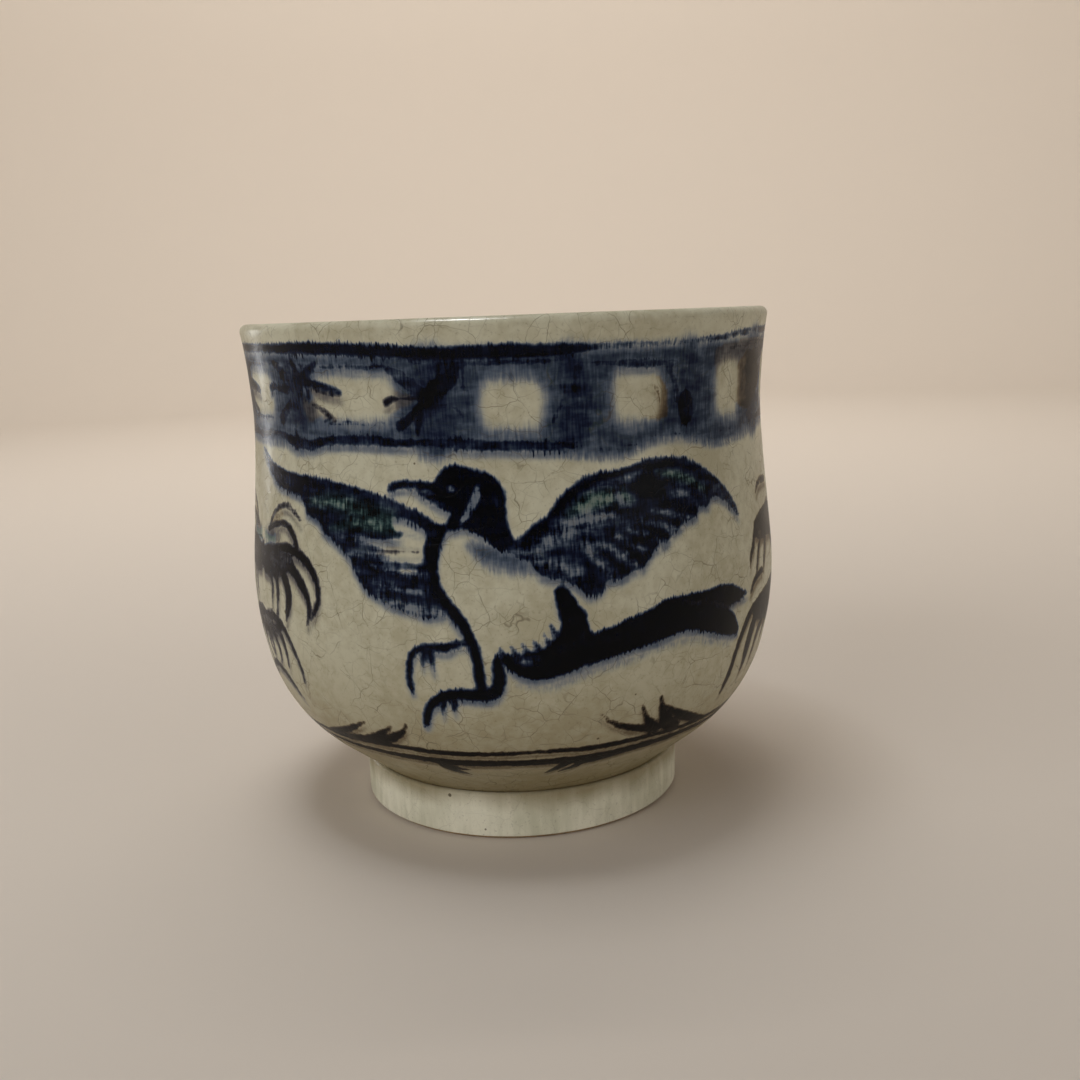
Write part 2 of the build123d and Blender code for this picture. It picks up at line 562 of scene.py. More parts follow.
    def turn(
        self, name: str, section: np.ndarray, columns: int, crowding: float,
        throwing: Throwing, material: Material,
    ) -> Object:
        """Turns a half section into a plain mesh object.

        Args:
            name: the piece's name.
            section: the half section's points in (radius, height).
            columns: how many columns of faces go round.
            crowding: how much closer together the columns stand in front, from 0 to 1.
            throwing: how uneven the surface is.
            material: the piece's finish.

        Returns:
            The finished object, at the origin.
        """
        outline = bpy.data.meshes.new(name + "_section")
        outline.from_pydata([(r, 0.0, z) for r, z in section], [], [])
        holder = bpy.data.objects.new(name + "_holder", outline)
        bpy.context.scene.collection.objects.link(holder)
        modifier = holder.modifiers.new("turn", "NODES")
        modifier.node_group = self.tree
        names = [name for name, _ in self.INPUTS[1:]]
        values = dict(zip(names, (columns, crowding, *astuple(throwing), material)))
        for item in self.tree.interface.items_tree:
            if item.in_out == "INPUT" and item.name in values:
                modifier[item.identifier] = values[item.name]
        graph = bpy.context.evaluated_depsgraph_get()
        mesh = bpy.data.meshes.new_from_object(holder.evaluated_get(graph))
        mesh.name = name
        holder.modifiers.remove(modifier)
        bpy.data.objects.remove(holder)
        bpy.data.meshes.remove(outline)
        self.close(mesh)
        piece = bpy.data.objects.new(name, mesh)
        bpy.context.scene.collection.objects.link(piece)
        return piece

    def close(self, mesh: Mesh) -> None:
        """Turns a body's faces outwards and marks its sharp edges.

        Args:
            mesh: the body, which changes in place.
        """
        shape = bmesh.new()
        shape.from_mesh(mesh)
        bmesh.ops.remove_doubles(shape, verts=shape.verts, dist=self.WELD)
        bmesh.ops.recalc_face_normals(shape, faces=shape.faces)
        open_edges = sum(1 for e in shape.edges if len(e.link_faces) != 2)
        shape.to_mesh(mesh)
        shape.free()
        mesh.set_sharp_from_angle(angle=self.SHARP)
        if open_edges:
            log.warning("%s has %d open edges", mesh.name, open_edges)


# Painting: what the brush left on the unrolled wall


class Pigment(Enum):
    """What the brush was loaded with, as its place on the scale that the glaze reads."""

    COPPER = -1.0
    COBALT = 0.0
    MIXED = 0.5
    IRON = 1.0


COPPER, COBALT, MIXED, IRON = Pigment


class Pass(Enum):
    """What one pass over the wall does."""

    BRUSH = "lays pigment up to an edge"
    CARVE = "leaves the clay bare inside a stroke"
    TONE = "changes how much pigment a stroke left"
    WASH = "lays thin pigment that fades out"
    LIFT = "wipes thin pigment away"


@dataclass(frozen=True)
class Mark:
    """One pass: its points are x and up in millimetres on the unrolled wall, and half its width."""

    points: tuple[tuple[float, float, float], ...]
    kind: Pass = Pass.BRUSH
    load: float = 1.0
    pigment: Pigment = COBALT
    soft: float = 0.8
    filled: bool = False

    def shifted(self, across: float, rise: float = 0.0, mirrored: bool = False) -> "Mark":
        """The same mark elsewhere on the wall.

        Args:
            across: how far round it goes.
            rise: how far up.
            mirrored: whether it is first turned left to right.

        Returns:
            The moved mark.
        """
        side = -1.0 if mirrored else 1.0
        points = tuple((side * x + across, up + rise, width) for x, up, width in self.points)
        return replace(self, points=points)


def along(kind: Pass, *points: tuple[float, float, float], **options) -> Mark:
    """One kind of pass along these points."""
    return Mark(points, kind, **options)


stroke, carve, tone, wash, lift = (partial(along, kind) for kind in Pass)


def patch(*points: tuple[float, float], **options) -> Mark:
    """A pass that fills the closed outline through these points."""
    return Mark(tuple((x, up, 0.0) for x, up in points), filled=True, **options)


def fade(distance: np.ndarray, soft: float) -> np.ndarray:
    """One inside an edge and nought outside it, changing smoothly over this distance each way."""
    share = np.clip((soft - distance) / (2 * soft), 0, 1)
    return share * share * (3 - 2 * share)


class Canvas:
    """The unrolled wall as a grid of cells, each with what the painting left in it.

    Millimetres. x runs round the wall, measured at the rim's radius, from 0 in front towards the
    right, and up runs along the wall's outside from the foot.
    """

    CELL = 0.25
    FAR = 4.0
    STEPS = 6
    NOWHERE = 1e3
    TINY = 1e-9
    FAINT = 0.02
    # How far down and up the melting glaze drew the pigment.
    RUN = 1.1
    RISE = 0.55

    def __init__(self, wall: Wall) -> None:
        """Lays out the cells.

        Args:
            wall: the wall to paint.
        """
        line = wall.line(0, wall.foot_height, wall.height) / MM
        lengths = np.hypot(*np.diff(line, axis=0).T)
        self.along = np.concatenate(([0.0], np.cumsum(lengths)))
        self.heights = line[:, 1]
        self.unroll = wall.rim_radius / MM
        self.width = 2 * pi * self.unroll
        columns = round(self.width / self.CELL)
        self.x = (np.arange(columns) + 0.5) / columns * self.width - self.width / 2
        self.up = np.arange(0, self.along[-1] + self.CELL, self.CELL)
        self.squeeze = np.interp(self.up, self.along, line[:, 0]) / self.unroll
        cells = (len(self.up), len(self.x))
        self.edge = np.full(cells, self.FAR)
        self.load = np.zeros(cells)
        self.wash = np.zeros(cells)
        self.hue = np.zeros(cells)

    def path(self, mark: Mark) -> np.ndarray:
        """Joins a mark's points by a smooth line, in even steps from each to the next.

        Args:
            mark: the mark.

        Returns:
            The line's points, one a row.
        """
        points = np.array(mark.points)
        if len(points) < 3:
            return points
        if mark.filled:
            padded = np.concatenate((points[-1:], points, points[:2]))
        else:
            first = 2 * points[0] - points[1]
            last = 2 * points[-1] - points[-2]
            padded = np.concatenate((first[None], points, last[None]))
        t = np.linspace(0, 1, self.STEPS, endpoint=False)[:, None]
        spans = []
        for a, b, c, d in zip(padded, padded[1:], padded[2:], padded[3:]):
            tangent_b = (c - a) / 2
            tangent_c = (d - b) / 2
            bend = 3 * (c - b) - 2 * tangent_b - tangent_c
            spans.append(b + tangent_b * t + bend * t**2 + (2 * (b - c) + tangent_b + tangent_c) * t**3)
        ending = padded[1] if mark.filled else padded[-2]
        path = np.concatenate((*spans, ending[None]))
        path[:, 2] = np.maximum(path[:, 2], 0)
        return path

    def distance(self, mark: Mark) -> tuple[np.ndarray, np.ndarray]:
        """How far the cells near a mark are from its edge.

        Args:
            mark: the mark.

        Returns:
            The cells as an index of rows and columns, and their distances, negative inside.
        """
        path = self.path(mark)
        reach = self.FAR + path[:, 2].max()
        rows = np.nonzero((self.up > path[:, 1].min() - reach) & (self.up < path[:, 1].max() + reach))[0]
        centre = (path[:, 0].min() + path[:, 0].max()) / 2
        round_about = (self.x - centre + self.width / 2) % self.width - self.width / 2
        half = (path[:, 0].max() - path[:, 0].min()) / 2 + reach / self.squeeze[rows].min()
        columns = np.nonzero(np.abs(round_about) < half)[0]
        x = round_about[columns][None, :] + centre
        up = self.up[rows][:, None]
        squeeze = self.squeeze[rows][:, None]
        nearest = np.full((len(rows), len(columns)), self.NOWHERE)
        inside = np.zeros_like(nearest, bool)
        for (ax, au, aw), (bx, bu, bw) in zip(path, path[1:]):
            across = (bx - ax) * squeeze
            rise = bu - au
            to_x = (x - ax) * squeeze
            share = (to_x * across + (up - au) * rise) / (across**2 + rise**2 + self.TINY)
            share = np.clip(share, 0, 1)
            away = np.hypot(to_x - share * across, up - au - share * rise)
            nearest = np.minimum(nearest, away - (aw + share * (bw - aw)))
            if mark.filled and rise:
                crossing = ax + (up - au) / rise * (bx - ax)
                inside ^= ((au > up) != (bu > up)) & (x < crossing)
        if mark.filled:
            nearest = np.where(inside, -nearest, nearest)
        return np.ix_(rows, columns), nearest

    def lay(self, mark: Mark) -> None:
        """Makes one pass over the wall.

        Args:
            mark: the pass.
        """
        cells, distance = self.distance(mark)
        if mark.kind is Pass.BRUSH:
            nearer = distance < self.edge[cells]
            self.edge[cells] = np.where(nearer, distance, self.edge[cells])
            self.load[cells] = np.where(nearer, mark.load, self.load[cells])
            self.hue[cells] = np.where(nearer, mark.pigment.value, self.hue[cells])
        elif mark.kind is Pass.CARVE:
            self.edge[cells] = np.maximum(self.edge[cells], np.minimum(-distance, self.FAR))
        elif mark.kind is Pass.TONE:
            share = fade(distance, mark.soft)
            self.load[cells] += (mark.load - self.load[cells]) * share
            self.hue[cells] += (mark.pigment.value - self.hue[cells]) * share
        elif mark.kind is Pass.LIFT:
            self.wash[cells] *= 1 - fade(distance, mark.soft) * mark.load
        else:
            thin = fade(distance, mark.soft) * mark.load
            stronger = thin > self.wash[cells]
            self.wash[cells] = np.where(stronger, thin, self.wash[cells])
            bare = stronger & (self.edge[cells] > 0) & (thin > self.FAINT)
            self.hue[cells] = np.where(bare, mark.pigment.value, self.hue[cells])

    def sample(self, layer: np.ndarray, across: np.ndarray, up: np.ndarray) -> np.ndarray:
        """A layer's values at places on the wall, blended between its cells.

        Args:
            layer: one of the canvas's layers.
            across: x of each place.
            up: how far up each place is.

        Returns:
            The values.
        """
        count = len(self.x)
        column = (across + self.width / 2) / self.width * count - 0.5
        row = np.clip(up / self.CELL, 0, len(self.up) - 1.001)
        left = np.floor(column).astype(int)
        below = np.floor(row).astype(int)
        right_share = column - left
        above_share = row - below
        lower = layer[below, left % count] * (1 - right_share)
        lower = lower + layer[below, (left + 1) % count] * right_share
        upper = layer[below + 1, left % count] * (1 - right_share)
        upper = upper + layer[below + 1, (left + 1) % count] * right_share
        return lower * (1 - above_share) + upper * above_share

    def transfer(self, mesh: Mesh) -> None:
        """Writes the painting to a turned mesh as attributes of its points.

        Args:
            mesh: the outer coat's mesh.
        """
        places = np.empty(len(mesh.vertices) * 3, np.float32)
        mesh.vertices.foreach_get("co", places)
        places = places.reshape(-1, 3) / MM
        across = np.arctan2(places[:, 0], -places[:, 1]) * self.unroll
        up = np.interp(places[:, 2], self.heights, self.along)
        for name, layer, shift in (
            ("stroke_edge", self.edge, 0.0), ("run_edge", self.edge, self.RUN),
            ("rise_edge", self.edge, -self.RISE), ("load", self.load, 0.0),
            ("wash", self.wash, 0.0), ("run_wash", self.wash, self.RUN),
            ("rise_wash", self.wash, -self.RISE), ("hue", self.hue, 0.0),
        ):
            values = self.sample(layer, across, up + shift)
            attribute = mesh.attributes.new(name, "FLOAT", "POINT")
            attribute.data.foreach_set("value", values.astype(np.float32))


class Bird:
    """A long-legged water bird with spread wings, running to the left."""

    def marks(self) -> list[Mark]:
        """Every pass that paints the bird, in the order of painting."""
        return [*self.left_wing(), *self.right_wing(), *self.neck(), *self.body(), *self.legs()]

    def left_wing(self) -> list[Mark]:
        """The wing that stretches to the left, with dry gaps near the breast.

        Returns:
            The marks, in the order of painting.
        """
        return [
            patch((-50.2, 63.7), (-47.5, 62.6), (-44.5, 61.3), (-41, 60.7), (-37.5, 60.3), (-33, 60.1),
                (-28.5, 59.7), (-24.5, 59.1), (-21, 58.2), (-17.5, 57.2), (-14, 55.8), (-11.5, 54.4),
                (-9.8, 53.2), (-11.6, 51.5), (-12.4, 48), (-11.5, 44.5), (-9.6, 41.6), (-12.5, 40.7),
                (-15, 41.4), (-18.3, 42.2), (-20.5, 43.2), (-22.6, 44.4), (-24.6, 47), (-25.8, 49),
                (-28.2, 50.8), (-30.8, 52.2), (-32, 53.8), (-34.6, 54.6), (-35.4, 56.6), (-38.2, 57.4),
                (-41.5, 57.8), (-44.5, 58.8), (-47, 60.9), load=0.9),
            tone((-33.5, 56.4, 0.4), (-28.5, 56.8, 1), (-23.5, 55.8, 1.2), (-18.4, 54.9, 0.8), load=0.6,
                pigment=COPPER, soft=1.8),
            tone((-29, 52.8, 0.3), (-24.5, 53.7, 0.7), (-20, 53.4, 0.9), (-16.8, 53.1, 0.6), load=0.62,
                pigment=COPPER, soft=1.2),
            tone((-28.6, 51.6, 0.2), (-23, 51.6, 0.6), (-19, 51.1, 0.7), load=0.54, soft=1.0),
            tone((-26, 49.2, 0.3), (-21, 49.2, 0.5), (-18, 48.8, 0.4), load=0.58, soft=0.9),
            tone((-24, 46.6, 0.3), (-18.5, 45, 0.5), (-13, 44.6, 0.4), load=0.64, soft=1.0),
            tone((-20.6, 43.4, 0.3), (-15.5, 42.2, 0.6), (-10.8, 41.5, 0.5), load=0.5, soft=1.0),
            stroke((-28.6, 54.5, 0.1), (-24, 54.6, 0.3), (-19.6, 54, 0.25), load=0.98),
            stroke((-28, 52.3, 0.1), (-24, 52.5, 0.3), (-20, 52.2, 0.2), load=0.98),
            tone((-46, 60.4, 0.3), (-43.5, 59.6, 0.6), (-40, 59, 0.3), load=0.8, soft=0.8),
            patch((-17.8, 54.9), (-15.6, 54.7), (-13.6, 53.7), (-12.6, 52.6), (-13.1, 50.6),
                (-13.3, 48.4), (-15.6, 48), (-18.6, 48.4), (-19.6, 49), (-16.6, 49.5), (-20.2, 50.5),
                (-21, 51.2), (-17.6, 51.8), (-16.2, 52.5), (-17.8, 53.4), kind=Pass.CARVE),
            carve((-25.2, 52, 0.04), (-21.8, 51.5, 0.22), (-17.5, 51.1, 0.5)),
            carve((-24.2, 49.7, 0.04), (-20.8, 49.6, 0.28), (-16.5, 49.4, 0.5)),
            carve((-22.2, 47.8, 0.04), (-18.6, 47.5, 0.2), (-14.4, 47.3, 0.36)),
            carve((-20.4, 45, 0.04), (-17.2, 44.6, 0.16), (-13.6, 44.3, 0.22)),
            stroke((-21.5, 53.1, 0.3), (-18.6, 53, 0.25), (-16.2, 52.8, 0.05), load=0.72),
            stroke((-18.4, 51.7, 0.12), (-15.8, 51.4, 0.1), (-13.8, 51.5, 0.02), load=0.42),
            stroke((-20.5, 50.1, 0.22), (-17.4, 50, 0.15), (-13.8, 50.1, 0.04), load=0.6,
                pigment=MIXED),
            stroke((-19.4, 48.4, 0.3), (-16.4, 48.2, 0.2), (-13.6, 48.3, 0.1), load=0.8),
            stroke((-17.4, 54.1, 0.1), (-15.2, 53.6, 0.15), (-13.6, 53, 0.04), load=0.4),
            tone((-18, 47, 0.1), (-15.4, 46.8, 0.35), (-13, 46.6, 0.3), load=0.5, soft=0.5),
        ]

    def right_wing(self) -> list[Mark]:
        """The raised wing on the right, with scalloped flight feathers.

        Returns:
            The marks, in the order of painting.
        """
        marks = [
            patch((-1.4, 50.7), (0.3, 51.4), (1.6, 52.5), (3.2, 53.9), (4.9, 54.8), (6.4, 56.7),
                (8.4, 58.5), (10.6, 59.9), (13.5, 60.3), (17, 60.7), (20.5, 61.5), (24.5, 61.6), (28, 61),
                (31.2, 59.7), (34.3, 57.8), (37.2, 55.6), (39.3, 53.3), (40.7, 50.7), (38.6, 52.2),
                (36.4, 53.9), (33.6, 54.7), (32.4, 53.4), (30.4, 53.6), (29.7, 52.3), (27.4, 52),
                (25.9, 50.9), (24.6, 50.4), (23.5, 49.1), (21.6, 48.7), (20.3, 47.6), (19.4, 46.2),
                (17.2, 45.8), (15.6, 44.9), (13.6, 44.9), (12.2, 43.5), (10.2, 43.1), (8.6, 44.6),
                (6.4, 45.6), (3.6, 46.4), (2, 48.4), (0.2, 49.4), load=0.86),
            tone((8.2, 54.9, 0.5), (11.6, 56.4, 1.3), (15.8, 56.9, 1.2), (17.4, 55.6, 0.6), load=0.54,
                pigment=COPPER, soft=1.6),
            tone((3.4, 50.8, 0.6), (6.6, 52.2, 1.1), (10.4, 53.6, 1), (14.6, 54.2, 0.8), load=0.5,
                soft=1.4),
            tone((22.4, 59.7, 0.2), (25.6, 58.9, 0.6), (28.8, 57.8, 0.5), (32, 56, 0.3), load=0.55,
                pigment=COPPER, soft=0.8),
            tone((23.8, 56.6, 0.4), (26.4, 56.2, 0.5), (29, 55.4, 0.3), load=0.62, soft=0.8),
            tone((16.4, 52.6, 0.5), (20, 51.6, 1.2), (24.6, 52.3, 0.8), load=0.66, soft=1.2),
            tone((9, 50.8, 0.6), (12.6, 49.4, 1.2), (15.2, 46.8, 0.8), load=0.64, soft=1.2),
            tone((2.6, 48.4, 0.6), (5.2, 47.8, 0.9), (8.6, 46.2, 0.8), load=0.56, soft=1.2),
            tone((10.2, 47, 0.4), (11.6, 45.4, 0.4), load=0.7, soft=0.7),
            tone((0.6, 50, 0.6), (3, 49.9, 0.6), load=0.6, soft=1.0),
            tone((2, 52.2, 0.2), (5.4, 54.6, 0.4), (8.6, 57.6, 0.6), (13, 59.4, 0.6), (19, 60.2, 0.6),
                (25, 60.6, 0.5), (30, 59.3, 0.4), load=1.0, soft=0.5),
            tone((15.8, 58.6, 0.4), (15.6, 56.8, 0.5), (17, 55.4, 0.4), (20.4, 54.8, 0.3), load=0.56,
                soft=0.7),
            tone((18, 57.8, 0.8), (20.2, 57.7, 1.7), (22.4, 57, 1.3), (22.4, 56, 0.8), load=1.0, soft=0.6),
            tone((15.6, 54.4, 0.3), (19.5, 54.8, 0.7), (23.5, 54.5, 0.4), (28.5, 53.9, 0.2), load=0.94,
                soft=0.6),
            tone((12, 58.2, 0.3), (16, 59, 0.5), (20, 59.9, 0.3), load=0.64, soft=0.7),
            # A painted highlight: a glint on the wing, left as a bare speck of cream.
            carve((16.3, 48.5, 0.25), (17.2, 48.7, 0.2)),
        ]
        for tip_x, tip_up, root_x, root_up in (
            (29.2, 53.1, 23.0, 54.4), (26.9, 51.6, 21.0, 53.6), (24.4, 50.0, 18.6, 52.4),
            (21.9, 48.6, 16.6, 51.4), (19.4, 46.9, 14.6, 50.6), (16.4, 45.8, 12.2, 49.6),
            (12.0, 44.2, 9.6, 49.0),
        ):
            middle = ((root_x + tip_x) / 2, (root_up + tip_up) / 2, 0.6)
            marks.append(tone((root_x, root_up, 0.25), middle, (tip_x, tip_up, 0.45), load=0.97, soft=0.45))
        for tip_x, tip_up, root_x, root_up in (
            (28.0, 52.5, 21.4, 54.2), (25.6, 50.9, 19.4, 53.0), (23.1, 49.4, 17.0, 52.2),
            (20.7, 47.9, 15.0, 51.2), (17.9, 46.6, 13.0, 50.2), (14.2, 45.3, 10.4, 49.4),
        ):
            marks.append(tone((root_x, root_up, 0.3), (tip_x, tip_up, 0.22), load=0.5, soft=0.45))
        for x, up, across, rise in ((27.9, 51.3, -2.2, 1.5), (24.9, 50.0, -1.6, 1.9),
                                    (22.9, 48.5, -1.5, 1.9), (18.6, 45.6, -0.9, 1.6)):
            marks.append(carve((x, up, 0.25), (x + across, up + rise, 0.05)))
        marks.append(tone((30.6, 60.2, 0.3), (33.6, 57.6, 0.9), (36.6, 55.3, 0.8), (39.2, 52.9, 0.5),
                         load=0.8, soft=1.0))
        return marks

    def neck(self) -> list[Mark]:
        """The head and the bent neck, with a pale slit inside the bend.

        Returns:
            The marks, in the order of painting.
        """
        return [
            patch((-11.2, 59.8), (-10.5, 61.2), (-9.2, 62.1), (-7.8, 62.4), (-6.2, 61.9), (-4.5, 61.5),
                (-2.9, 60.8), (-1.7, 59.7), (-1, 58), (-0.9, 56), (-0.9, 54.2), (-0.4, 52.6), (0.3, 51.2),
                (-1, 50.3), (-2.6, 50.6), (-3.8, 51.8), (-5.4, 52.8), (-7.2, 53.4), (-9.6, 53.3),
                (-9.4, 54.4), (-8.9, 55.5), (-9.9, 56.1), (-10.7, 57.2), (-11.2, 58.4), load=0.98),
            stroke((-18.1, 58.9, 0.55), (-17.2, 59.5, 0.55), (-15, 59.7, 0.55), (-12.6, 59.4, 0.6),
                (-10.8, 59, 0.9)),
            stroke((-14, 59, 0.3), (-12, 58, 0.5), (-10.2, 57, 0.8), load=0.85),
            tone((-4.9, 59.3, 0.25), (-5.1, 58.1, 0.42), (-5.7, 56.8, 0.45), (-6.5, 55.5, 0.35),
                (-7.3, 54.5, 0.16), load=0.1, soft=0.28),
            tone((-8.9, 59.1, 0.32), (-8.5, 59, 0.28), load=0.3, soft=0.25),
            tone((-9, 60.5, 0.1), (-7, 60.6, 0.1), load=0.8, soft=0.3),
            tone((-2.4, 58, 0.3), (-2.2, 56.5, 0.3), load=0.8, soft=0.6),
        ]

    def body(self) -> list[Mark]:
        """The line of the breast, the thigh, the long tail and the soft shade under the neck.

        Returns:
            The marks, in the order of painting.
        """
        return [
            wash((-6.4, 52, 0.3), (-4.6, 50.6, 1.2), (-2.4, 49.6, 1.5), (0.4, 49, 1.3), (2, 48, 0.6),
                load=0.62, soft=1.6),
            stroke((-10, 53.4, 0.6), (-11.1, 51.8, 0.85), (-11.7, 50, 0.95), (-11.9, 48, 0.85),
                (-11.6, 46.2, 0.72), (-10.9, 44.3, 0.75), (-9.6, 42.2, 0.85), (-8, 40.2, 0.85),
                (-7, 38.2, 0.75), (-6.2, 36, 0.75), (-5.8, 33.8, 0.75), (-5.7, 31.8, 0.8),
                (-5.5, 29.6, 0.7)),
            patch((5.4, 43.9), (6.5, 45), (7.4, 44.3), (8.6, 42.2), (9.8, 40.5), (10.2, 38.8),
                (10.6, 37.4), (12.2, 37.7), (14.6, 38.3), (17.6, 39.2), (20.2, 40), (23, 40.9),
                (27, 40.9), (31, 40.9), (35, 40.9), (38, 40.1), (40.4, 38.9), (42.2, 38.1), (40.4, 37.7),
                (38.2, 37.5), (36.3, 37), (37.9, 35.6), (39.1, 34), (39.8, 32.2), (37.2, 32.3),
                (34.6, 33), (31.8, 34), (28.6, 35.1), (25.2, 35.4), (21.6, 34.7), (17.8, 34.2),
                (14, 33.5), (10.6, 32.8), (7.8, 31.9), (5, 31.2), (2.2, 31), (0, 31.8), (-1.4, 33),
                (-2.8, 34.5), (-1.8, 35.2), (-0.2, 34.8), (1.2, 35.4), (2.8, 35.6), (4.4, 36.3),
                (5.6, 37.6), (6.2, 39.2), (5.9, 41.2), load=1.0),
            tone((-0.6, 34.6, 0.1), (1, 34, 0.35), (2.6, 34.2, 0.2), load=0.6, soft=0.5),
            *(
                stroke((x + 1.6, up - 1.4, 0.4), (x + 0.6, up - 0.2, 0.3), (x, up + 0.9, 0.06))
                for x, up in ((-2.6, 35.2), (-1.0, 35.4), (0.6, 35.8), (2.2, 36.2), (3.6, 37.0),
                              (4.6, 38.4))
            ),
            tone((25.5, 40, 0.1), (30, 39.3, 0.25), (33.6, 38.2, 0.3), (36.2, 37.1, 0.3), load=0.6,
                pigment=IRON, soft=0.5),
            tone((31, 38.6, 0.6), (36, 38.2, 1), (39.5, 36.5, 1), load=0.96, pigment=MIXED,
                soft=2.0),
            wash((0, 31.4, 0.5), (4.5, 30.6, 0.8), (9, 31.9, 0.8), (16, 33.4, 0.7), (24, 34.7, 0.6),
                (31, 33.9, 0.7), (37.5, 31.9, 0.6), load=0.42, soft=1.0),
        ]

    def legs(self) -> list[Mark]:
        """Two running legs with small toes.

        Returns:
            The marks, in the order of painting.
        """
        toes = dict(load=0.95)
        return [
            stroke((-6.9, 36.8, 0.45), (-8.4, 36.9, 0.4), (-10.4, 36.2, 0.65), (-12.6, 36.3, 0.5),
                (-14.4, 35.9, 0.5), (-15.7, 34.8, 0.5), (-16.2, 32.9, 0.5), (-16.4, 30.8, 0.5),
                (-16.2, 29.3, 0.35)),
            stroke((-13.4, 35.8, 0.55), (-13.9, 34.4, 0.4), (-14, 33.3, 0.15), **toes),
            stroke((-12.9, 35.6, 0.6), (-12.6, 34, 0.42), (-12.3, 32.6, 0.2), **toes),
            stroke((-3, 34.3, 0.65), (-2.9, 32.6, 0.9), (-2.9, 31, 1), (-3.4, 29.6, 1), (-4.7, 28.8, 1),
                (-6.6, 28.8, 0.9), (-8.6, 28.9, 0.85), (-10.6, 28.7, 0.85), (-12.2, 28, 0.8),
                (-13.4, 27, 0.75), (-14.2, 25.8, 0.7), (-14.7, 24.5, 0.65), (-15, 23.4, 0.45)),
            stroke((-11.4, 28.2, 0.5), (-11.7, 26.8, 0.42), (-11.9, 25.3, 0.15), **toes),
            stroke((-10, 28.2, 0.5), (-9.9, 26.8, 0.42), (-9.8, 25.8, 0.15), **toes),
            carve((-4, 33.6, 0.1), (-4.2, 32, 0.2), (-4.5, 30.6, 0.1)),
        ]


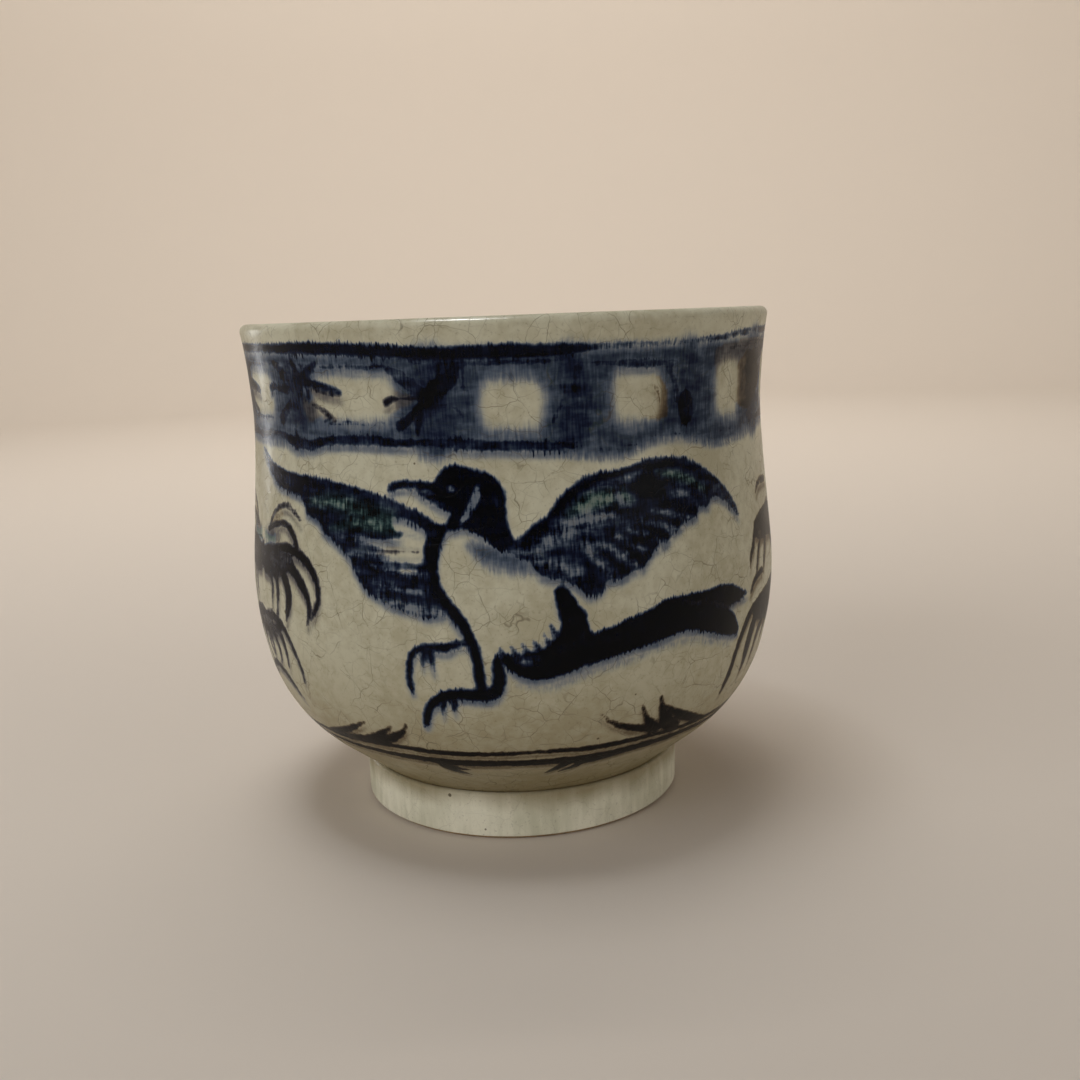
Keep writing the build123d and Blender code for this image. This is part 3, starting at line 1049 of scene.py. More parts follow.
@dataclass(frozen=True)
class Bands:
    """The painted bands round the neck: a frieze of pale windows between two pairs of lines."""

    windows: int = 13
    first_window: float = -48.0
    round_the_wall: float = 2 * pi * 45.0
    seed: int = 11

    def lines(self, *stations: tuple[float, float, float], **options) -> Mark:
        """A line all round, level behind.

        Args:
            stations: its points in front.
            options: the mark's other values.

        Returns:
            The mark.
        """
        half = self.round_the_wall / 2
        first, last = stations[0], stations[-1]
        ends = [(x, (first[1] + last[1]) / 2, (first[2] + last[2]) / 2) for x in (-half, half)]
        return stroke(ends[0], *stations, ends[1], **options)

    def marks(self) -> list[Mark]:
        """Every pass that paints the bands, in the order of painting."""
        return [*self.ground_wash(), *self.framing(), *self.crossings()]

    def ground_wash(self) -> list[Mark]:
        """Thin cobalt behind the frieze, with the windows wiped out of it.

        Returns:
            The marks, in the order of painting.
        """
        rng = np.random.default_rng(self.seed)
        half = self.round_the_wall / 2
        marks = [
            patch((-half, 64.8), (-100, 65), (-60, 65), (-34, 64.9), (-20, 65.3), (-8, 64.8), (4, 64),
                (12, 63), (17, 62.8), (22, 64.2), (28, 64.6), (33, 63.2), (38, 62.9), (46, 63.6),
                (60, 64.6), (100, 65), (half, 64.8), (half, 78.4), (100, 78.4), (60, 78.8), (46, 78.6),
                (36, 78.4), (22, 78.4), (10, 78.6), (-10, 78.8), (-34, 79), (-60, 79), (-100, 78.6),
                (-half, 78.4), kind=Pass.WASH, load=0.6, soft=0.7),
        ]
        for i in range(self.windows):
            gap = self.between(i)
            width = 2.0 if i < 2 else 3.2 + rng.random()
            marks.append(wash((gap - 0.4, 75.6, width), (gap + 0.5, 71.6, width * 0.9),
                             (gap, 67.4, width), load=0.68 + 0.06 * rng.random(), soft=1.6))
        for left, right, low, high in self.openings(rng):
            side = 0.16 * (right - left)
            marks.append(patch((left, low + 1.6), (left + side, low), (right - side, low - 0.1),
                             (right, low + 1.4), (right + 0.2, high - 1.8), (right - side, high),
                             (left + side, high + 0.1), (left - 0.1, high - 1.5), kind=Pass.LIFT,
                             soft=1.7))
        return marks

    def openings(self, rng: np.random.Generator) -> list[tuple[float, float, float, float]]:
        """Where the windows are.

        Args:
            rng: what makes those behind uneven.

        Returns:
            Left, right, low and high for each.
        """
        front = [
            (-53.4, -43.0, 69.0, 75.9), (-31.4, -16.8, 69.0, 75.6), (-4.0, 5.0, 67.5, 74.3),
            (15.6, 23.6, 67.6, 74.8), (35.8, 42.8, 66.9, 75.2),
        ]
        step = self.round_the_wall / self.windows
        for i in range(len(front), self.windows):
            middle = self.first_window + i * step + rng.uniform(-0.6, 0.6)
            half = 4.6 + rng.uniform(-0.5, 0.9)
            low = 68.2 + rng.uniform(-0.6, 0.4)
            front.append((middle - half, middle + half, low, 75.6 + rng.uniform(-0.4, 0.4)))
        return front

    def between(self, i: int) -> float:
        """Where the crossing to the left of a window stands.

        Args:
            i: the window's place in the row.

        Returns:
            Its x.
        """
        centres = {0: -58.0, 1: -35.6, 2: -10.8, 3: 9.6, 4: 29.4, 5: 49.4}
        step = self.round_the_wall / self.windows
        return centres.get(i, self.first_window + (i - 0.5) * step)

    def framing(self) -> list[Mark]:
        """The lines above and below the frieze, dark on the left and smeared on the right.

        Returns:
            The marks, in the order of painting.
        """
        return [
            self.lines((-60, 79.1, 0.55), (-44, 79, 0.6), (-36, 79, 0.8), (-28, 78.9, 0.85),
                (-20, 78.5, 0.85), (-12, 77.9, 0.9), (0, 77.8, 1), (7, 77.7, 0.9), (13, 77.9, 0.55),
                (24, 77.8, 0.4), (36, 78.2, 0.4), (44, 78.8, 0.4), (60, 79, 0.5), load=0.96),
            tone((13.5, 77.9, 1), (24, 77.7, 1.2), (36, 78, 1.2), (50, 78.8, 1), load=0.56, soft=2.4),
            stroke((-62, 76.7, 0.4), (-46, 76.7, 0.4), (-34, 76.6, 0.4), (-18, 76.2, 0.5), load=0.66),
            lift((-62, 77.75, 0.12), (-46, 77.7, 0.2), (-30, 77.5, 0.25), (-21, 77.1, 0.1), load=0.55,
                soft=0.4),
            stroke((-14, 76.9, 0.4), (-6, 76.4, 0.5), (2, 76.3, 0.5), (8, 76.3, 0.4), load=0.8),
            stroke((9, 75.6, 0.2), (14, 75.7, 0.45), (20, 75.4, 0.6), (26, 75.2, 0.5), (30, 75.6, 0.3),
                load=0.82),
            stroke((36.5, 76.3, 0.2), (40, 76.7, 0.35), (46, 76.8, 0.4), (56, 76.5, 0.45), load=0.66,
                pigment=MIXED),
            lift((37.5, 77.7, 0.2), (44, 77.75, 0.25), (54, 77.7, 0.2), load=0.6, soft=0.4),
            lift((-62, 67.3, 0.2), (-50, 67.2, 0.3), (-40, 67.3, 0.3), (-30, 67.2, 0.3), (-19, 67, 0.2),
                load=0.5, soft=0.5),
            stroke((-62, 68.4, 0.3), (-48, 68.4, 0.35), (-40, 68.4, 0.3), load=0.56),
            stroke((-30, 68.3, 0.25), (-22, 68.2, 0.35), (-15, 68.2, 0.35), load=0.62),
            self.lines((-60, 65.9, 0.6), (-50, 65.6, 0.6), (-45, 66.2, 0.5), (-41, 66, 0.6),
                (-37.5, 65.2, 0.9), (-33, 64.9, 0.8), (-29.5, 65.7, 0.7), (-22, 65.9, 0.75),
                (-16, 65.6, 0.65), (-10, 65.5, 0.75), (-4, 65.1, 0.8), (4, 64.7, 0.75), (10, 64.4, 0.6),
                (16, 63.6, 0.4), (24, 65, 0.3), (32, 64.4, 0.4), (42, 64.3, 0.4), (60, 65.6, 0.6),
                load=0.86),
            tone((11, 64.2, 1), (20, 64.2, 1.3), (32, 64.6, 1.3), (50, 64.8, 1.3), load=0.52, soft=2.0),
        ]

    def crossings(self) -> list[Mark]:
        """The dark flowers and smears between the windows.

        Returns:
            The marks, in the order of painting.
        """
        marks = [*self.flower(-35.6, 73.0), *self.bow(-11.2, 72.2), *self.smears()]
        marks += self.flower(-58.5, 73.0)
        for i in range(6, self.windows):
            place = self.between(i)
            marks += self.flower(place, 72.9) if i % 2 else self.bow(place, 72.2)
        return marks

    def flower(self, x: float, up: float) -> list[Mark]:
        """A crossing of short thick strokes round a dark middle.

        Args:
            x: where its middle is.
            up: how far up that is.

        Returns:
            Its marks.
        """
        arms = [
            stroke((-6, 3.9, 0.6), (-4, 2.9, 1), (-2.2, 1.2, 0.9), load=0.82),
            stroke((5.4, 3.8, 0.5), (3.6, 3, 0.9), (1.6, 1.7, 0.9), load=0.86),
            stroke((-8.2, 0, 0.5), (-6.8, 0.3, 0.6), (-5.2, 0, 0.6), (-2.6, -0.2, 0.9), load=0.92),
            stroke((-4.9, 1.3, 0.3), (-5.4, 0.4, 0.3)),
            stroke((2.4, 1.1, 0.8), (4.6, 0.8, 0.6), (7, 0.2, 0.6), (9.6, -0.4, 0.3), load=0.92),
            stroke((3, 0.5, 0.4), (6, -0.2, 0.4), (9.4, -0.8, 0.3), load=0.6, pigment=MIXED),
            stroke((-1.6, -1.6, 0.7), (-3.6, -3.2, 0.8), (-5.4, -4.6, 1), load=0.88),
            stroke((1.6, -1.6, 0.4), (4.6, -2.6, 0.35), (6.6, -3.6, 0.4), (8, -4.6, 0.35), load=0.8,
                pigment=MIXED),
            stroke((-0.6, 4.4, 0.5), (0.2, 2.2, 1.1), (0.4, 0.6, 1.5), (0, -0.8, 0.9), (-0.4, -3, 0.4),
                load=0.86),
            stroke((2.6, 0, 0.3), (2.6, -1.6, 0.5), load=0.92),
            tone((-2.2, 1.8, 0.8), (-1.4, -2.6, 0.8), load=0.7, soft=0.8),
            wash((-2.4, 4.6, 0.9), (-1, 0.4, 1.5), (-1.6, -3.8, 1), load=0.86, soft=1.6),
            wash((2.6, 3.6, 0.3), (2.8, 0.6, 0.5), (3, -2.6, 0.3), load=0.8, soft=0.9),
            stroke((-1.6, -5.8, 0.3), (-1.2, -7.4, 0.6), (-1.3, -8.6, 0.5), load=0.95),
        ]
        return [arm.shifted(x, up) for arm in arms]

    def bow(self, x: float, up: float) -> list[Mark]:
        """A crossing like a tied bow, heavier on its right.

        Args:
            x: where its middle is.
            up: how far up that is.

        Returns:
            Its marks.
        """
        arms = [
            stroke((-6.6, 3.9, 0.5), (-4.6, 2.8, 1), (-2.6, 1.2, 1), (-0.8, 0.2, 0.9), load=0.8),
            stroke((4, 3.8, 0.9), (2.8, 2, 1.3), (0.8, 0.6, 1.6), (-0.4, -0.8, 1.3), load=0.94),
            stroke((-6.8, -1, 0.55), (-5.8, -0.5, 0.4), (-4.4, -0.5, 0.3), (-1.4, -0.4, 0.5), load=0.9,
                pigment=MIXED),
            stroke((-0.8, -0.8, 0.9), (-2.2, -2.2, 0.8), (-3.6, -3.4, 0.8), (-5, -4.3, 0.9), load=0.95),
            stroke((-1.4, -2.2, 0.4), (-2, -3.8, 0.7), (-2.2, -5.4, 0.4), load=0.97),
            stroke((0.2, -1.2, 0.5), (2.4, -1.5, 0.4), (4, -2.2, 0.35), (4.6, -3.6, 0.25), load=0.85),
            stroke((0.4, -4, 0.3), (3.4, -5.6, 0.3), (4.2, -6.4, 0.5), load=0.9),
            stroke((4.8, 5.6, 0.4), (5, 2.6, 0.35), (5, 0.6, 0.15), load=0.9),
            tone((-1.2, 0.4, 0.9), (1, 2, 1), load=1.0, soft=1.0),
            wash((3.2, 4.4, 1.2), (0.6, 0.8, 2.2), (-1.4, -3.4, 1.2), load=0.94, soft=1.6),
            stroke((-2.6, 3, 0.3), (-2.2, 1.4, 0.5), (-2.4, -0.6, 0.3), load=0.86),
            stroke((1.8, 4.8, 0.4), (1.4, 2.6, 0.6), (1.6, 0.4, 0.5), load=0.98),
            stroke((3.4, 1.4, 0.3), (5.2, 0.6, 0.4), (6.4, -0.8, 0.2), load=0.8),
            wash((-5, 2.2, 0.5), (-3, 0.4, 0.8), load=0.74, soft=1.2),
        ]
        return [arm.shifted(x, up) for arm in arms]

    def smears(self) -> list[Mark]:
        """The smudged crossings on the right.

        Returns:
            The marks, in the order of painting.
        """
        return [
            stroke((7.2, 75, 0.7), (8, 72.6, 0.6), (7.6, 70.2, 0.5), (6.4, 68, 0.5), load=0.72),
            stroke((10.2, 75.2, 0.8), (9.8, 72.8, 0.9), (10.6, 71, 0.4), load=0.85),
            stroke((25, 74.6, 0.7), (26.4, 72.2, 0.6), (26.8, 70, 0.8), load=0.8),
            stroke((28.6, 69.4, 1.7), (28.8, 67.8, 1.6), (28.4, 66.6, 0.9), load=0.95),
            stroke((28.7, 74.2, 0.25), (28.7, 72.2, 0.3), (28.6, 70.6, 0.3), load=1.0),
            stroke((30.4, 70.6, 0.4), (30.5, 67.6, 0.4), load=0.85),
            stroke((22.4, 72.2, 0.1), (23.4, 70.8, 0.3), (23.6, 69.4, 0.2), load=0.6, pigment=IRON),
            stroke((46.4, 73.6, 1.3), (47.6, 71.6, 1.6), (47.2, 69.8, 1.4), load=0.8, pigment=IRON),
            stroke((46, 75, 0.3), (47.6, 74.4, 0.5), (49.4, 75.2, 0.3), load=0.7, pigment=IRON),
            stroke((32.6, 75.4, 0.5), (33.4, 76.2, 0.4), load=0.7),
        ]


class Ground:
    """Two lines round the foot of the wall, with tufts of grass above and below them."""

    HALF_ROUND = pi * 45.0

    def marks(self) -> list[Mark]:
        """Every pass that paints the ground, in the order of painting."""
        return [*self.lines(), *self.tufts(0.0), *self.tufts(self.HALF_ROUND)]

    def lines(self) -> list[Mark]:
        """The two ground lines, which meet and thicken here and there.

        Returns:
            The marks, in the order of painting.
        """
        ink = dict(pigment=IRON)
        half = self.HALF_ROUND
        return [
            stroke((-half, 16.6, 0.45), (-100, 16.9, 0.5), (-60, 16.4, 0.45), (-38, 16.8, 0.55),
                (-22, 17.4, 0.5), (-14, 17, 0.6), (-4, 17.1, 0.5), (4, 17.2, 0.45), (12, 16.8, 0.65),
                (22, 17, 0.6), (36, 16.6, 0.5), (60, 16.6, 0.45), (100, 16.9, 0.5), (half, 16.6, 0.45),
                load=0.97, **ink),
            stroke((-half, 14.6, 0.6), (-100, 14.4, 0.7), (-60, 14.8, 0.55), (-38, 14.9, 0.5),
                (-22, 14.8, 0.7), (-12, 14.4, 0.95), (-2, 14.3, 0.85), (6, 14.2, 0.95), (14, 14, 1.2),
                (22, 14.6, 0.95), (36, 14.8, 0.7), (60, 14.5, 0.6), (100, 14.4, 0.7), (half, 14.6, 0.6),
                load=0.97, **ink),
            wash((-24, 16, 0.2), (-6, 15.8, 0.3), (8, 15.7, 0.3), (24, 15.8, 0.4), load=0.22,
                pigment=IRON, soft=0.6),
            stroke((8, 14.2, 0.8), (12, 13.2, 1), (17, 13.6, 0.6), load=0.95, **ink),
        ]

    def tufts(self, across: float) -> list[Mark]:
        """Tufts of grass round one bird.

        Args:
            across: where the bird is.

        Returns:
            Their marks.
        """
        ink = dict(load=0.95, pigment=IRON)
        marks = [
            stroke((-41, 16.6, 0.3), (-36, 17.9, 0.7), (-31.5, 19.6, 0.6), (-27, 22, 0.12), **ink),
            stroke((-34, 17, 0.9), (-29, 17.8, 0.9), (-25, 18, 0.6), load=0.85, pigment=IRON),
            stroke((-29.5, 17.6, 0.6), (-25, 19.6, 0.7), (-21.6, 22, 0.15), **ink),
            stroke((-26.5, 17.6, 0.7), (-22.5, 19.4, 0.9), (-20, 21, 0.5), (-18.6, 22.8, 0.1), **ink),
            stroke((28.5, 17.4, 1.2), (25.6, 19.8, 1.2), (24, 22.2, 0.7), (22.9, 25.4, 0.12), **ink),
            stroke((36.5, 16.9, 0.5), (31.5, 18.8, 0.9), (27.5, 20.8, 0.8), (24.6, 22.8, 0.3), **ink),
            stroke((24.5, 18.6, 0.8), (21.6, 20.8, 0.6), (19.6, 24.2, 0.12), **ink),
            stroke((24, 18.4, 0.8), (19.6, 19.8, 0.7), (16, 21.2, 0.5), (13.9, 22.6, 0.2),
                (12.6, 24, 0.1), **ink),
            stroke((-15.6, 14.4, 0.5), (-14.6, 12.8, 0.8), (-12.9, 11.2, 0.7), (-10.4, 9.7, 0.12), **ink),
            stroke((-14.4, 13.6, 0.6), (-12.2, 12.4, 0.5), (-10, 11.8, 0.12), **ink),
            stroke((9.4, 14, 0.7), (7.4, 12.5, 0.8), (5.8, 11, 0.5), (4.3, 9.7, 0.1), **ink),
            stroke((11.6, 13.2, 0.8), (9.4, 11.4, 0.6), (7, 9.8, 0.12), **ink),
        ]
        return [mark.shifted(across) for mark in marks]


@dataclass(frozen=True)
class HangingPlant:
    """Two tiers of drooping fronds that hang down the wall."""

    x: float
    heavy_left: bool = False

    def marks(self) -> list[Mark]:
        """Every pass that paints the plant, in the order of painting.

        Returns:
            The marks, in the order of painting.
        """
        fine = self.fine_side()
        if self.heavy_left:
            left = self.heavy_side()
        else:
            left = [mark.shifted(0.0, mirrored=True) for mark in fine]
        return [mark.shifted(self.x) for mark in (*fine, *left)]

    def fine_side(self) -> list[Mark]:
        """The fronds on the right of a plant's middle, as offsets from that middle.

        Returns:
            The marks, in the order of painting.
        """
        ink = dict(pigment=MIXED)
        grey = dict(pigment=MIXED, load=0.86)
        return [
            patch((-0.5, 47.8), (2, 49.2), (6, 48.8), (10, 48), (12, 46.4), (9.6, 44.6), (7, 43.6),
                (3, 43.2), (0.5, 43.8), load=0.8, **ink),
            wash((1.6, 50, 0.7), (4.5, 50.4, 1.2), (7, 50.6, 0.7), load=0.62, pigment=COPPER,
                soft=1.1),
            stroke((3, 50.8, 0.4), (6, 51.9, 0.5), (9, 52.4, 0.45), (11, 51.6, 0.6), (12.4, 49.9, 0.6),
                (13, 48.4, 0.5), load=0.97, **ink),
            stroke((3.6, 51.6, 0.3), (5.4, 53.6, 0.35), (7.6, 54.8, 0.35), (9.8, 55.2, 0.35),
                (12, 54.4, 0.28), (14, 53.1, 0.18), load=0.92, **ink),
            wash((4.6, 52.6, 0.5), (7.4, 53.4, 0.6), load=0.5, pigment=IRON, soft=0.7),
            tone((1, 48.4, 0.3), (4, 49.2, 0.32), (8, 49.3, 0.3), (11.6, 49.2, 0.15), load=0.3,
                pigment=COPPER, soft=0.4),
            stroke((6, 48.2, 0.6), (10, 48.6, 0.75), (14, 47.8, 0.75), (16.6, 46, 0.7),
                (17.9, 43.8, 0.55), (18, 41.8, 0.5), (17.2, 40, 0.4), (16.2, 38.4, 0.2), load=0.97, **ink),
            stroke((8, 46.6, 0.9), (11.4, 45.6, 0.9), (14, 43.6, 0.85), (15.5, 41.4, 0.6),
                (15.6, 39.4, 0.4), (14.9, 37.2, 0.2), load=0.95, **ink),
            stroke((7, 46, 1), (9, 44, 0.95), (10.2, 41.8, 0.9), (10, 39.6, 0.75), (8.8, 37, 0.25),
                load=0.95, **ink),
            stroke((4.6, 45, 0.8), (6.4, 43, 0.55), (6.6, 41, 0.5), (6.2, 38.8, 0.35), (5.4, 36.6, 0.12),
                **grey),
            stroke((3, 44.6, 0.8), (4.6, 42.4, 0.5), (4.4, 40.4, 0.35), (3.8, 38.4, 0.12), **grey),
            patch((-0.5, 36.4), (2, 37.6), (5, 37.2), (7, 36), (5.6, 34), (3, 33.2), (-0.5, 33.4),
                load=0.72, **ink),
            stroke((3.5, 36.9, 0.5), (6.5, 36.1, 0.6), (8.6, 34, 0.5), (10, 31.2, 0.45),
                (10.7, 28.8, 0.4), (10.4, 26.8, 0.15), load=0.9, **ink),
            stroke((4.6, 35.4, 0.9), (6.2, 33, 0.6), (6.5, 31, 0.4), (5.8, 28.2, 0.12), **grey),
            stroke((2.2, 34.4, 0.8), (3.6, 31.8, 0.5), (3.4, 29.6, 0.3), (2.2, 27.8, 0.1), **grey),
            stroke((0.2, 34, 0.6), (0.9, 31.6, 0.4), (0.2, 29.2, 0.12), **grey),
            stroke((0.6, 27.6, 0.7), (3.6, 26.6, 0.6), (5.8, 24.6, 0.5), (7.5, 22.4, 0.15), **grey),
        ]

    def heavy_side(self) -> list[Mark]:
        """The fronds on the left of the plant on the right, broader and fewer.

        Returns:
            The marks, in the order of painting.
        """
        ink = dict(pigment=IRON)
        return [
            stroke((-1, 54.4, 0.5), (-4, 54.7, 0.6), (-6.8, 54.5, 0.5), (-8.6, 53.2, 0.25), load=0.7,
                **ink),
            patch((1, 50.8), (-4, 50.4), (-8.6, 49.6), (-11, 48.2), (-10, 46), (-6, 45.4), (-2, 45.2),
                (1, 45.4), load=0.84, **ink),
            stroke((-10.2, 48.4, 0.4), (-11.2, 46.6, 0.5), (-12, 45, 0.45), (-13.1, 43.6, 0.4),
                (-13.6, 42, 0.15), load=0.92, **ink),
            stroke((-8.4, 45.8, 0.4), (-9.8, 43.8, 0.4), (-10.6, 41.8, 0.35), (-11, 40.2, 0.15),
                load=0.85, **ink),
            stroke((-5, 45.6, 0.7), (-6.4, 43.2, 0.5), (-7, 41, 0.3), (-7.2, 39.6, 0.1), load=0.75, **ink),
            stroke((-8.4, 40.4, 0.5), (-10.8, 40, 0.55), (-12.4, 39.2, 0.45), (-13.5, 37.9, 0.35),
                load=0.92, **ink),
            patch((1, 37.8), (-5, 37.2), (-9, 36.6), (-12, 35.4), (-11.4, 33.2), (-7, 31.6), (-3, 31.2),
                (1, 32), load=0.86, **ink),
            stroke((-10, 35.4, 0.8), (-13, 34.6, 0.7), (-14.9, 32.6, 0.7), (-16.2, 30.2, 0.65),
                (-17, 27.6, 0.6), (-17.5, 25.2, 0.6), (-17.9, 23.2, 0.5), (-18.2, 21.4, 0.3), load=0.95,
                **ink),
            stroke((-10.6, 33.4, 1.1), (-11.8, 30.8, 1.2), (-12.4, 28.2, 1.1), (-12.7, 25.8, 0.7),
                (-12.9, 23.6, 0.2), load=0.88, **ink),
            stroke((-6, 32.6, 1), (-8, 29.8, 0.8), (-9, 27, 0.5), (-9.6, 24.6, 0.12), load=0.75, **ink),
            stroke((-2, 32.4, 0.8), (-4, 29.8, 0.6), (-5, 27.4, 0.15), load=0.7, **ink),
        ]


def painting(wall: Wall) -> Canvas:
    """Paints the whole wall.

    Args:
        wall: the wall to paint.

    Returns:
        The finished canvas.
    """
    canvas = Canvas(wall)
    far = canvas.width / 2
    bird = Bird().marks()
    plants = (
        HangingPlant(-50.0),
        HangingPlant(57.0, heavy_left=True),
        HangingPlant(far - 50.0),
        HangingPlant(57.0 - far, heavy_left=True),
    )
    marks = [*Bands().marks(), *Ground().marks(), *bird, *(mark.shifted(far) for mark in bird)]
    for plant in plants:
        marks += plant.marks()
    for mark in marks:
        canvas.lay(mark)
    return canvas


# Finishes


@dataclass(frozen=True)
class CrackledGlaze:
    """Clear feldspar glaze on a pale stoneware body, fired glossy in a smoky kiln.

    It gives the eye a warm grey cream with soft clouds and freckles under a wet-looking skin. The
    skin crazed as it cooled, and tea has stained the cracks brown.
    """

    name: str
    pale: str = "CBCAB5"
    deep: str = "B4B098"
    stain: str = "4E4230"
    stained: float = 0.55
    cloud: float = 14.0 * MM
    mottle: float = 1.6 * MM
    mottle_flat: float = 1.0
    freckle: float = 0.4 * MM
    crack_cell: float = 5.2 * MM
    hair_cell: float = 2.3 * MM
    # A real craze line is about 0.05 mm wide. It is drawn wider, so that it shows.
    crack_width: float = 0.08 * MM
    pit_cell: float = 6.0 * MM
    pit: float = 0.24 * MM
    roughness: float = 0.2
    ior: float = 1.5
    # Clean glass would be 0.5. Less keeps the pale studio from veiling the dark strokes.
    gloss: float = 0.1
    ripple: float = 2.2 * MM
    ripple_depth: float = 0.012 * MM
    sunk: float = 1.2
    crack_bend: float = 3.4 * MM
    crack_reach: float = 2.2 * MM
    crack_break: float = 4.0 * MM
    pit_stained: float = 0.8
    freckled: float = 0.2
    waver: float = 6.0 * MM
    slant_gloss: float = 0.01
    # Browner and darker between two heights: partly glaze that pooled there, partly painted shade on the
    # lower belly and in the crease under the bowl.
    pool_and_shade: str = "7E6D42"
    pooled_and_shaded: float = 0.0
    pool_and_shade_from: float = 46.0 * MM
    pool_and_shade_full: float = 6.0 * MM

    def material(self) -> Material:
        """Makes the finish.

        Returns:
            The material.
        """
        material = bpy.data.materials.new(self.name)
        material.use_nodes = True
        tree = material.node_tree
        tree.nodes.clear()
        place = add_node(tree, "ShaderNodeTexCoord").outputs["Object"]
        colour = self.pigmented(tree, place, self.ground(tree, place))
        cracks = self.cracks(tree, place)
        pits = self.pits(tree, place)
        colour = self.darkened(tree, colour, cracks, self.stained)
        colour = self.darkened(tree, colour, pits, self.pit_stained)
        ripple = add_node(
            tree, NOISE, {}, {"Vector": place, "Scale": per_feature(self.ripple), "Detail": 1.0}
        )
        sunk = add_node(tree, MATH, LARGER, {0: cracks, 1: pits})
        level = add_node(tree, MATH, TIMES_PLUS, {0: sunk, 1: -self.sunk, 2: ripple.outputs[0]})
        bump = add_node(
            tree, "ShaderNodeBump", {}, {"Height": level, "Distance": self.ripple_depth, "Strength": 1.0}
        )
        smear = add_node(
            tree, NOISE, {}, {"Vector": place, "Scale": per_feature(self.cloud / 2), "Detail": 3.0}
        )
        rough = add_node(
            tree, RANGE, {},
            {"Value": smear, "To Min": self.roughness - 0.06, "To Max": self.roughness + 0.1}
        )
        slant = add_node(tree, "ShaderNodeLayerWeight", {}, {"Blend": 0.5}).outputs["Facing"]
        # At a slant the pale studio would bleach the edges, so the skin mirrors it less there.
        gloss = add_node(
            tree, RANGE, {},
            {
                "Value": slant, "From Min": 0.55, "From Max": 0.9, "To Min": self.gloss,
                "To Max": self.slant_gloss,
            },
        )
        shader = add_node(
            tree, "ShaderNodeBsdfPrincipled", {},
            {
                "Base Color": colour, "Roughness": rough, "IOR": self.ior,
                "Specular IOR Level": gloss, "Normal": bump,
            },
        )
        add_node(tree, "ShaderNodeOutputMaterial", {}, {"Surface": shader})
        return material

    def ground(self, tree: NodeTree, place: NodeSocket) -> Node:
        """The unpainted glaze: clouds, mottling, freckles, and between two heights pooled glaze with painted
        shade.

        Args:
            tree: the material's tree.
            place: where on the piece, in metres.

        Returns:
            The node that gives its colour.
        """
        cloud = add_node(tree, NOISE, {}, {"Vector": place, "Scale": per_feature(self.cloud), "Detail": 3.0})
        drawn = add_node(tree, VECTOR, TIMES, {0: place, 1: (1.0, 1.0, self.mottle_flat)})
        mottle = add_node(
            tree, NOISE, {}, {"Vector": drawn, "Scale": per_feature(self.mottle), "Detail": 4.0}
        )
        both = add_node(tree, MATH, TIMES_PLUS, {0: mottle, 1: 0.7, 2: cloud.outputs[0]})
        share = add_node(tree, RANGE, SMOOTH, {"Value": both, "From Min": 0.62, "From Max": 1.08})
        base = add_node(
            tree, MIX, COLOURS, {0: share, COLOUR_A: linear(self.pale), COLOUR_B: linear(self.deep)}
        )
        freckle = add_node(
            tree, NOISE, {}, {"Vector": place, "Scale": per_feature(self.freckle), "Detail": 2.0}
        )
        dots = add_node(tree, RANGE, SMOOTH, {"Value": freckle, "From Min": 0.6, "From Max": 0.74})
        freckled = self.darkened(tree, base, dots, self.freckled)
        # Pooled glaze and painted shade, between two heights.
        height = add_node(tree, "ShaderNodeSeparateXYZ", {}, {0: place}).outputs["Z"]
        uneven = add_node(tree, MATH, TIMES_PLUS, {0: cloud, 1: self.waver, 2: height})
        pool_and_shade_share = add_node(
            tree, RANGE, SMOOTH,
            {
                "Value": uneven, "From Min": self.pool_and_shade_from, "From Max": self.pool_and_shade_full,
                "To Max": self.pooled_and_shaded,
            },
        )
        return add_node(tree, MIX, COLOURS, {0: pool_and_shade_share, COLOUR_A: freckled, COLOUR_B: linear(self.pool_and_shade)})

    def pigmented(
        self, tree: NodeTree, place: NodeSocket, ground: Node
    ) -> Node:
        """What lies under the glaze: here nothing but the body."""
        return ground

    def darkened(
        self, tree: NodeTree, colour: Node, mask: Node, share: float
    ) -> Node:
        """Stains a colour brown.

        Args:
            tree: the material's tree.
            colour: the node that gives the colour.
            mask: the node that says where.
            share: how strongly, from 0 to 1.

        Returns:
            The node that gives the stained colour.
        """
        amount = add_node(tree, MATH, TIMES, {0: mask, 1: share})
        return add_node(
            tree, MIX, {"data_type": "RGBA", "blend_type": "DARKEN"},
            {0: amount, COLOUR_A: colour, COLOUR_B: linear(self.stain)}
        )

    def cracks(self, tree: NodeTree, place: NodeSocket) -> Node:
        """The crazing: a wide net of strong lines, and a closer one of hair lines.

        Args:
            tree: the material's tree.
            place: where on the piece, in metres.

        Returns:
            The node that is one on a line and nought off it.
        """
        bend = add_node(
            tree, NOISE, {}, {"Vector": place, "Scale": per_feature(self.crack_bend), "Detail": 2.0}
        )
        centred = add_node(tree, VECTOR, MINUS, {0: bend.outputs["Color"], 1: (0.5, 0.5, 0.5)})
        shift = add_node(tree, VECTOR, SCALED, {0: centred, "Scale": self.crack_reach})
        bent = add_node(tree, VECTOR, PLUS, {0: place, 1: shift})
        strength = add_node(
            tree, NOISE, {}, {"Vector": place, "Scale": per_feature(self.crack_break), "Detail": 1.0}
        )
        nets = []
        for cell, weakest, strongest in (
            (self.crack_cell, 0.34, 0.58), (self.hair_cell, 0.36, 0.86)
        ):
            net = add_node(
                tree, "ShaderNodeTexVoronoi", {"feature": "DISTANCE_TO_EDGE"},
                {"Vector": bent, "Scale": per_feature(cell)}
            )
            line = add_node(
                tree, RANGE, SMOOTH,
                {"Value": net.outputs["Distance"], "From Min": self.crack_width / cell, "From Max": 0.0}
            )
            gate = add_node(tree, RANGE, {}, {"Value": strength, "From Min": weakest, "From Max": strongest})
            nets.append(add_node(tree, MATH, TIMES, {0: line, 1: gate}))
        return add_node(tree, MATH, LARGER, dict(enumerate(nets)))

